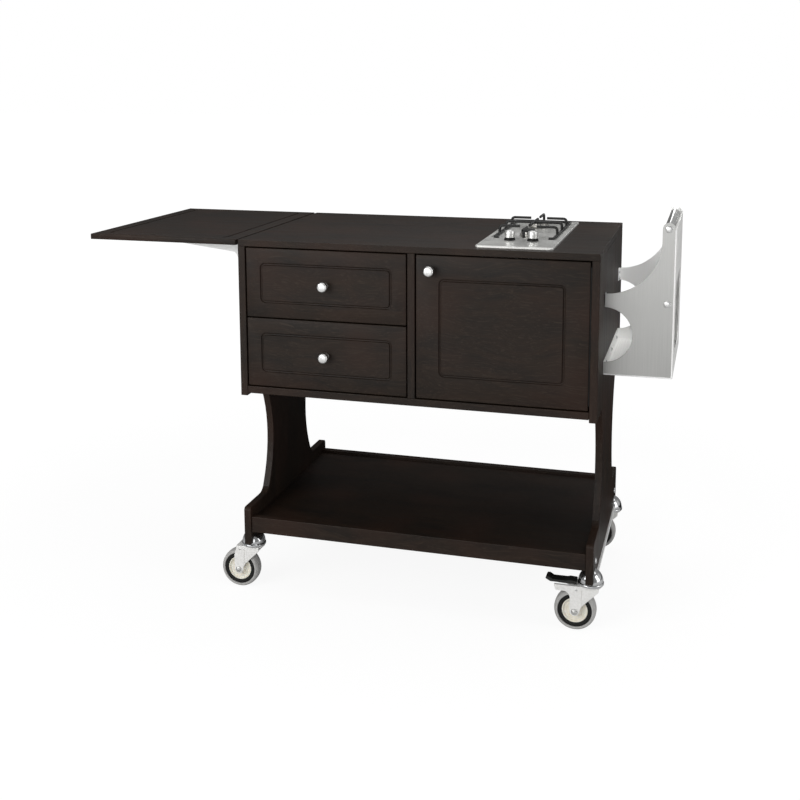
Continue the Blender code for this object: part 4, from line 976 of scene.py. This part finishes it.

# Feet: bolt domes and a near-white strip on each end panel's lower edge, a painted highlight, and screws on
# the leaf brackets
footLook = {
    "boltRadius": 7.5 * mm, "boltSetback": 44 * mm, "boltRise": 43 * mm,
    "stripInset": 66 * mm, "stripHeight": 5 * mm, "stripOut": 5.5 * mm,
}
bracketLook = {"screwRadius": 3.6 * mm, "screwSink": 2.4 * mm, "screws": (0.25, 0.6)}


def addFootTrim(side, look=footLook):
    low, high = boxOf("end_panel_" + side)
    face, out = (high.x, 1) if side == "right" else (low.x, -1)
    height, inset = low.z + look["boltRise"], look["stripInset"]
    places = [(face, y, height) for y in (low.y + look["boltSetback"], high.y - look["boltSetback"])]
    heads = [domeHead(place, look["boltRadius"], (out, 0, 0), 0.5) for place in places]
    addPiece("foot_bolts_" + side, combined("bolts", *heads), chrome, "cabinet")
    # The strip's near-white finish is a painted highlight along the foot's lower edge
    near, far = sorted((face + out * 0.1 * mm, face + out * look["stripOut"]))
    stripLow = (near, low.y + inset, low.z - 0.2 * mm)
    strip = boxMesh("strip", stripLow, (far, high.y - inset, low.z + look["stripHeight"]), 0.5 * mm)
    addPiece("foot_strip_painted_highlight_" + side, strip, steelPaintedLit, "cabinet")


def addBracketScrews(end, look=bracketLook):
    low, high = boxOf("bracket_arm_" + end)
    y, z = (low.y + high.y) / 2, high.z - look["screwSink"]
    places = [(low.x + (high.x - low.x) * share, y, z) for share in look["screws"]]
    name, radius = "bracket_arm_screws_" + end, look["screwRadius"]
    addScrews(name, places, radius, (0, 0, -1), boltSteel, "leaf")


for side in sides:
    addFootTrim(side)
for end in ends:
    addBracketScrews(end)
print("feet and brackets trimmed")

# Studio: a white sweep that only the camera sees bright, and softboxes in front, on the right and above
studio = {
    "floorSeen": "#ffffff", "floorBounce": "#dcdcdc", "glow": 1.04, "glowNear": 0.88, "near": 1.1,
    "far": 2.6, "ambient": 0.24, "background": 1.0,
}


def addFloor(look=studio):
    mesh = bpy.data.meshes.new("studioFloor")
    shape = bmesh.new()
    bmesh.ops.create_grid(shape, x_segments=1, y_segments=1, size=30)
    shape.to_mesh(mesh)
    shape.free()
    floor = linked("studioFloor", mesh)
    floor.location.z = cadLow.z
    # White paper that glows for the camera, so that it ends in no horizon and keeps the wheels' shadow
    material, tree, shader = newMaterial("floor_white_paper_lit")
    seen = addNode(tree, "ShaderNodeLightPath").outputs["Is Camera Ray"]
    tone = mixColour(tree, seen, linear(look["floorBounce"]), linear(look["floorSeen"]))
    feed(tree, shader, {"Base Color": tone, "Roughness": 0.9, "Specular IOR Level": 0.0})
    place = addNode(tree, "ShaderNodeTexCoord").outputs["Object"]
    away = addNode(tree, "ShaderNodeVectorMath", {0: place}, operation="LENGTH").outputs["Value"]
    share = spread(tree, away, look["near"], look["far"], look["glowNear"], 1)
    share = addNode(tree, "ShaderNodeMath", {0: share, 1: seen}, operation="MULTIPLY").outputs[0]
    glow = addNode(tree, "ShaderNodeEmission", Color=(1, 1, 1, 1), Strength=look["glow"]).outputs[0]
    mix = addNode(tree, "ShaderNodeMixShader", {0: share, 1: shader.outputs[0], 2: glow}).outputs[0]
    feed(tree, tree.nodes["Material Output"], {"Surface": mix})
    mesh.materials.append(material)


def addWorld():
    world = bpy.data.worlds.new("studioWorld")
    bpy.context.scene.world = world
    world.use_nodes = True
    tree = world.node_tree
    tree.nodes.clear()
    seen = addNode(tree, "ShaderNodeLightPath").outputs["Is Camera Ray"]
    strength = spread(tree, seen, 0, 1, studio["ambient"], studio["background"])
    light = addNode(tree, "ShaderNodeBackground", Strength=strength, Color=(1, 1, 1, 1))
    addNode(tree, "ShaderNodeOutputWorld", Surface=light.outputs[0])


def addLamp(name, kind, place, target, power, **settings):
    data = bpy.data.lights.new(name, kind)
    data.energy = power
    for setting, value in settings.items():
        setattr(data, setting, value)
    lamp = linked(name, data)
    lamp.location = place
    lamp.rotation_euler = (Vector(target) - Vector(place)).to_track_quat("-Z", "Y").to_euler()
    return lamp


# Place, target, width and height in metres, watts
softboxes = {
    "frontSoftbox": ((-2.0, -3.2, 2.1), (-0.1, 0, 0.6), (2.4, 1.8), 66),
    "frontPanel": ((-0.3, -3.5, 0.95), (0.1, 0, 0.55), (4.2, 1.8), 31),
    "rightPanel": ((3.3, 0.3, 1.1), (0.4, 0, 0.6), (3.2, 2.0), 5),
    "rightSoftbox": ((3.4, -0.9, 1.9), (0.3, 0, 0.6), (1.6, 1.6), 16),
    "legPanel": ((2.3, -0.5, 0.34), (0.55, 0, 0.34), (0.9, 0.5), 3.5),
    "railStrip": ((0.6, 2.1, 1.2), (0.7, 0, 0.96), (0.1, 0.5), 0.45),
    "topSoftbox": ((0.4, 0.4, 2.8), (0.1, 0, 0.5), (3.6, 2.6), 32),
}
# A small spotlight above the rack, which brings out its far cheek and tray
rackLamp = {
    "place": (0.76, -0.07, 1.5), "target": (0.63, 0.22, 0.78), "power": 9,
    "spot_size": math.radians(34), "spot_blend": 0.7, "shadow_soft_size": 0.06,
}
# Black card low behind the trolley and black cloth on the floor there, seen in reflections alone: they keep
# the pale background out of the dark lacquer and put dark bands in the chrome
blackCards = {
    "blackCard": ((-3.2, 2.2, 0.02), (0.66, 2.22, 1.5)),
    "blackCloth": ((-3.2, 0.36, 0.004), (3.2, 2.2, 0.006)),
}


def addBlackCards():
    material, tree, shader = newMaterial("black_card_matt")
    feed(tree, shader, {"Base Color": linear("#050505"), "Roughness": 0.95})
    for name, (low, high) in blackCards.items():
        mesh = boxMesh(name, low, high)
        mesh.materials.append(material)
        card = linked(name, mesh)
        card.visible_camera = False
        card.visible_shadow = False
        card.visible_diffuse = name == "blackCard"


addFloor()
addWorld()
addBlackCards()
for name, (place, target, (width, height), power) in softboxes.items():
    lamp = addLamp(name, "AREA", place, target, power, shape="RECTANGLE", size=width, size_y=height)
    lamp.visible_camera = False
addLamp("rackLamp", "SPOT", **rackLamp)
print("studio set")
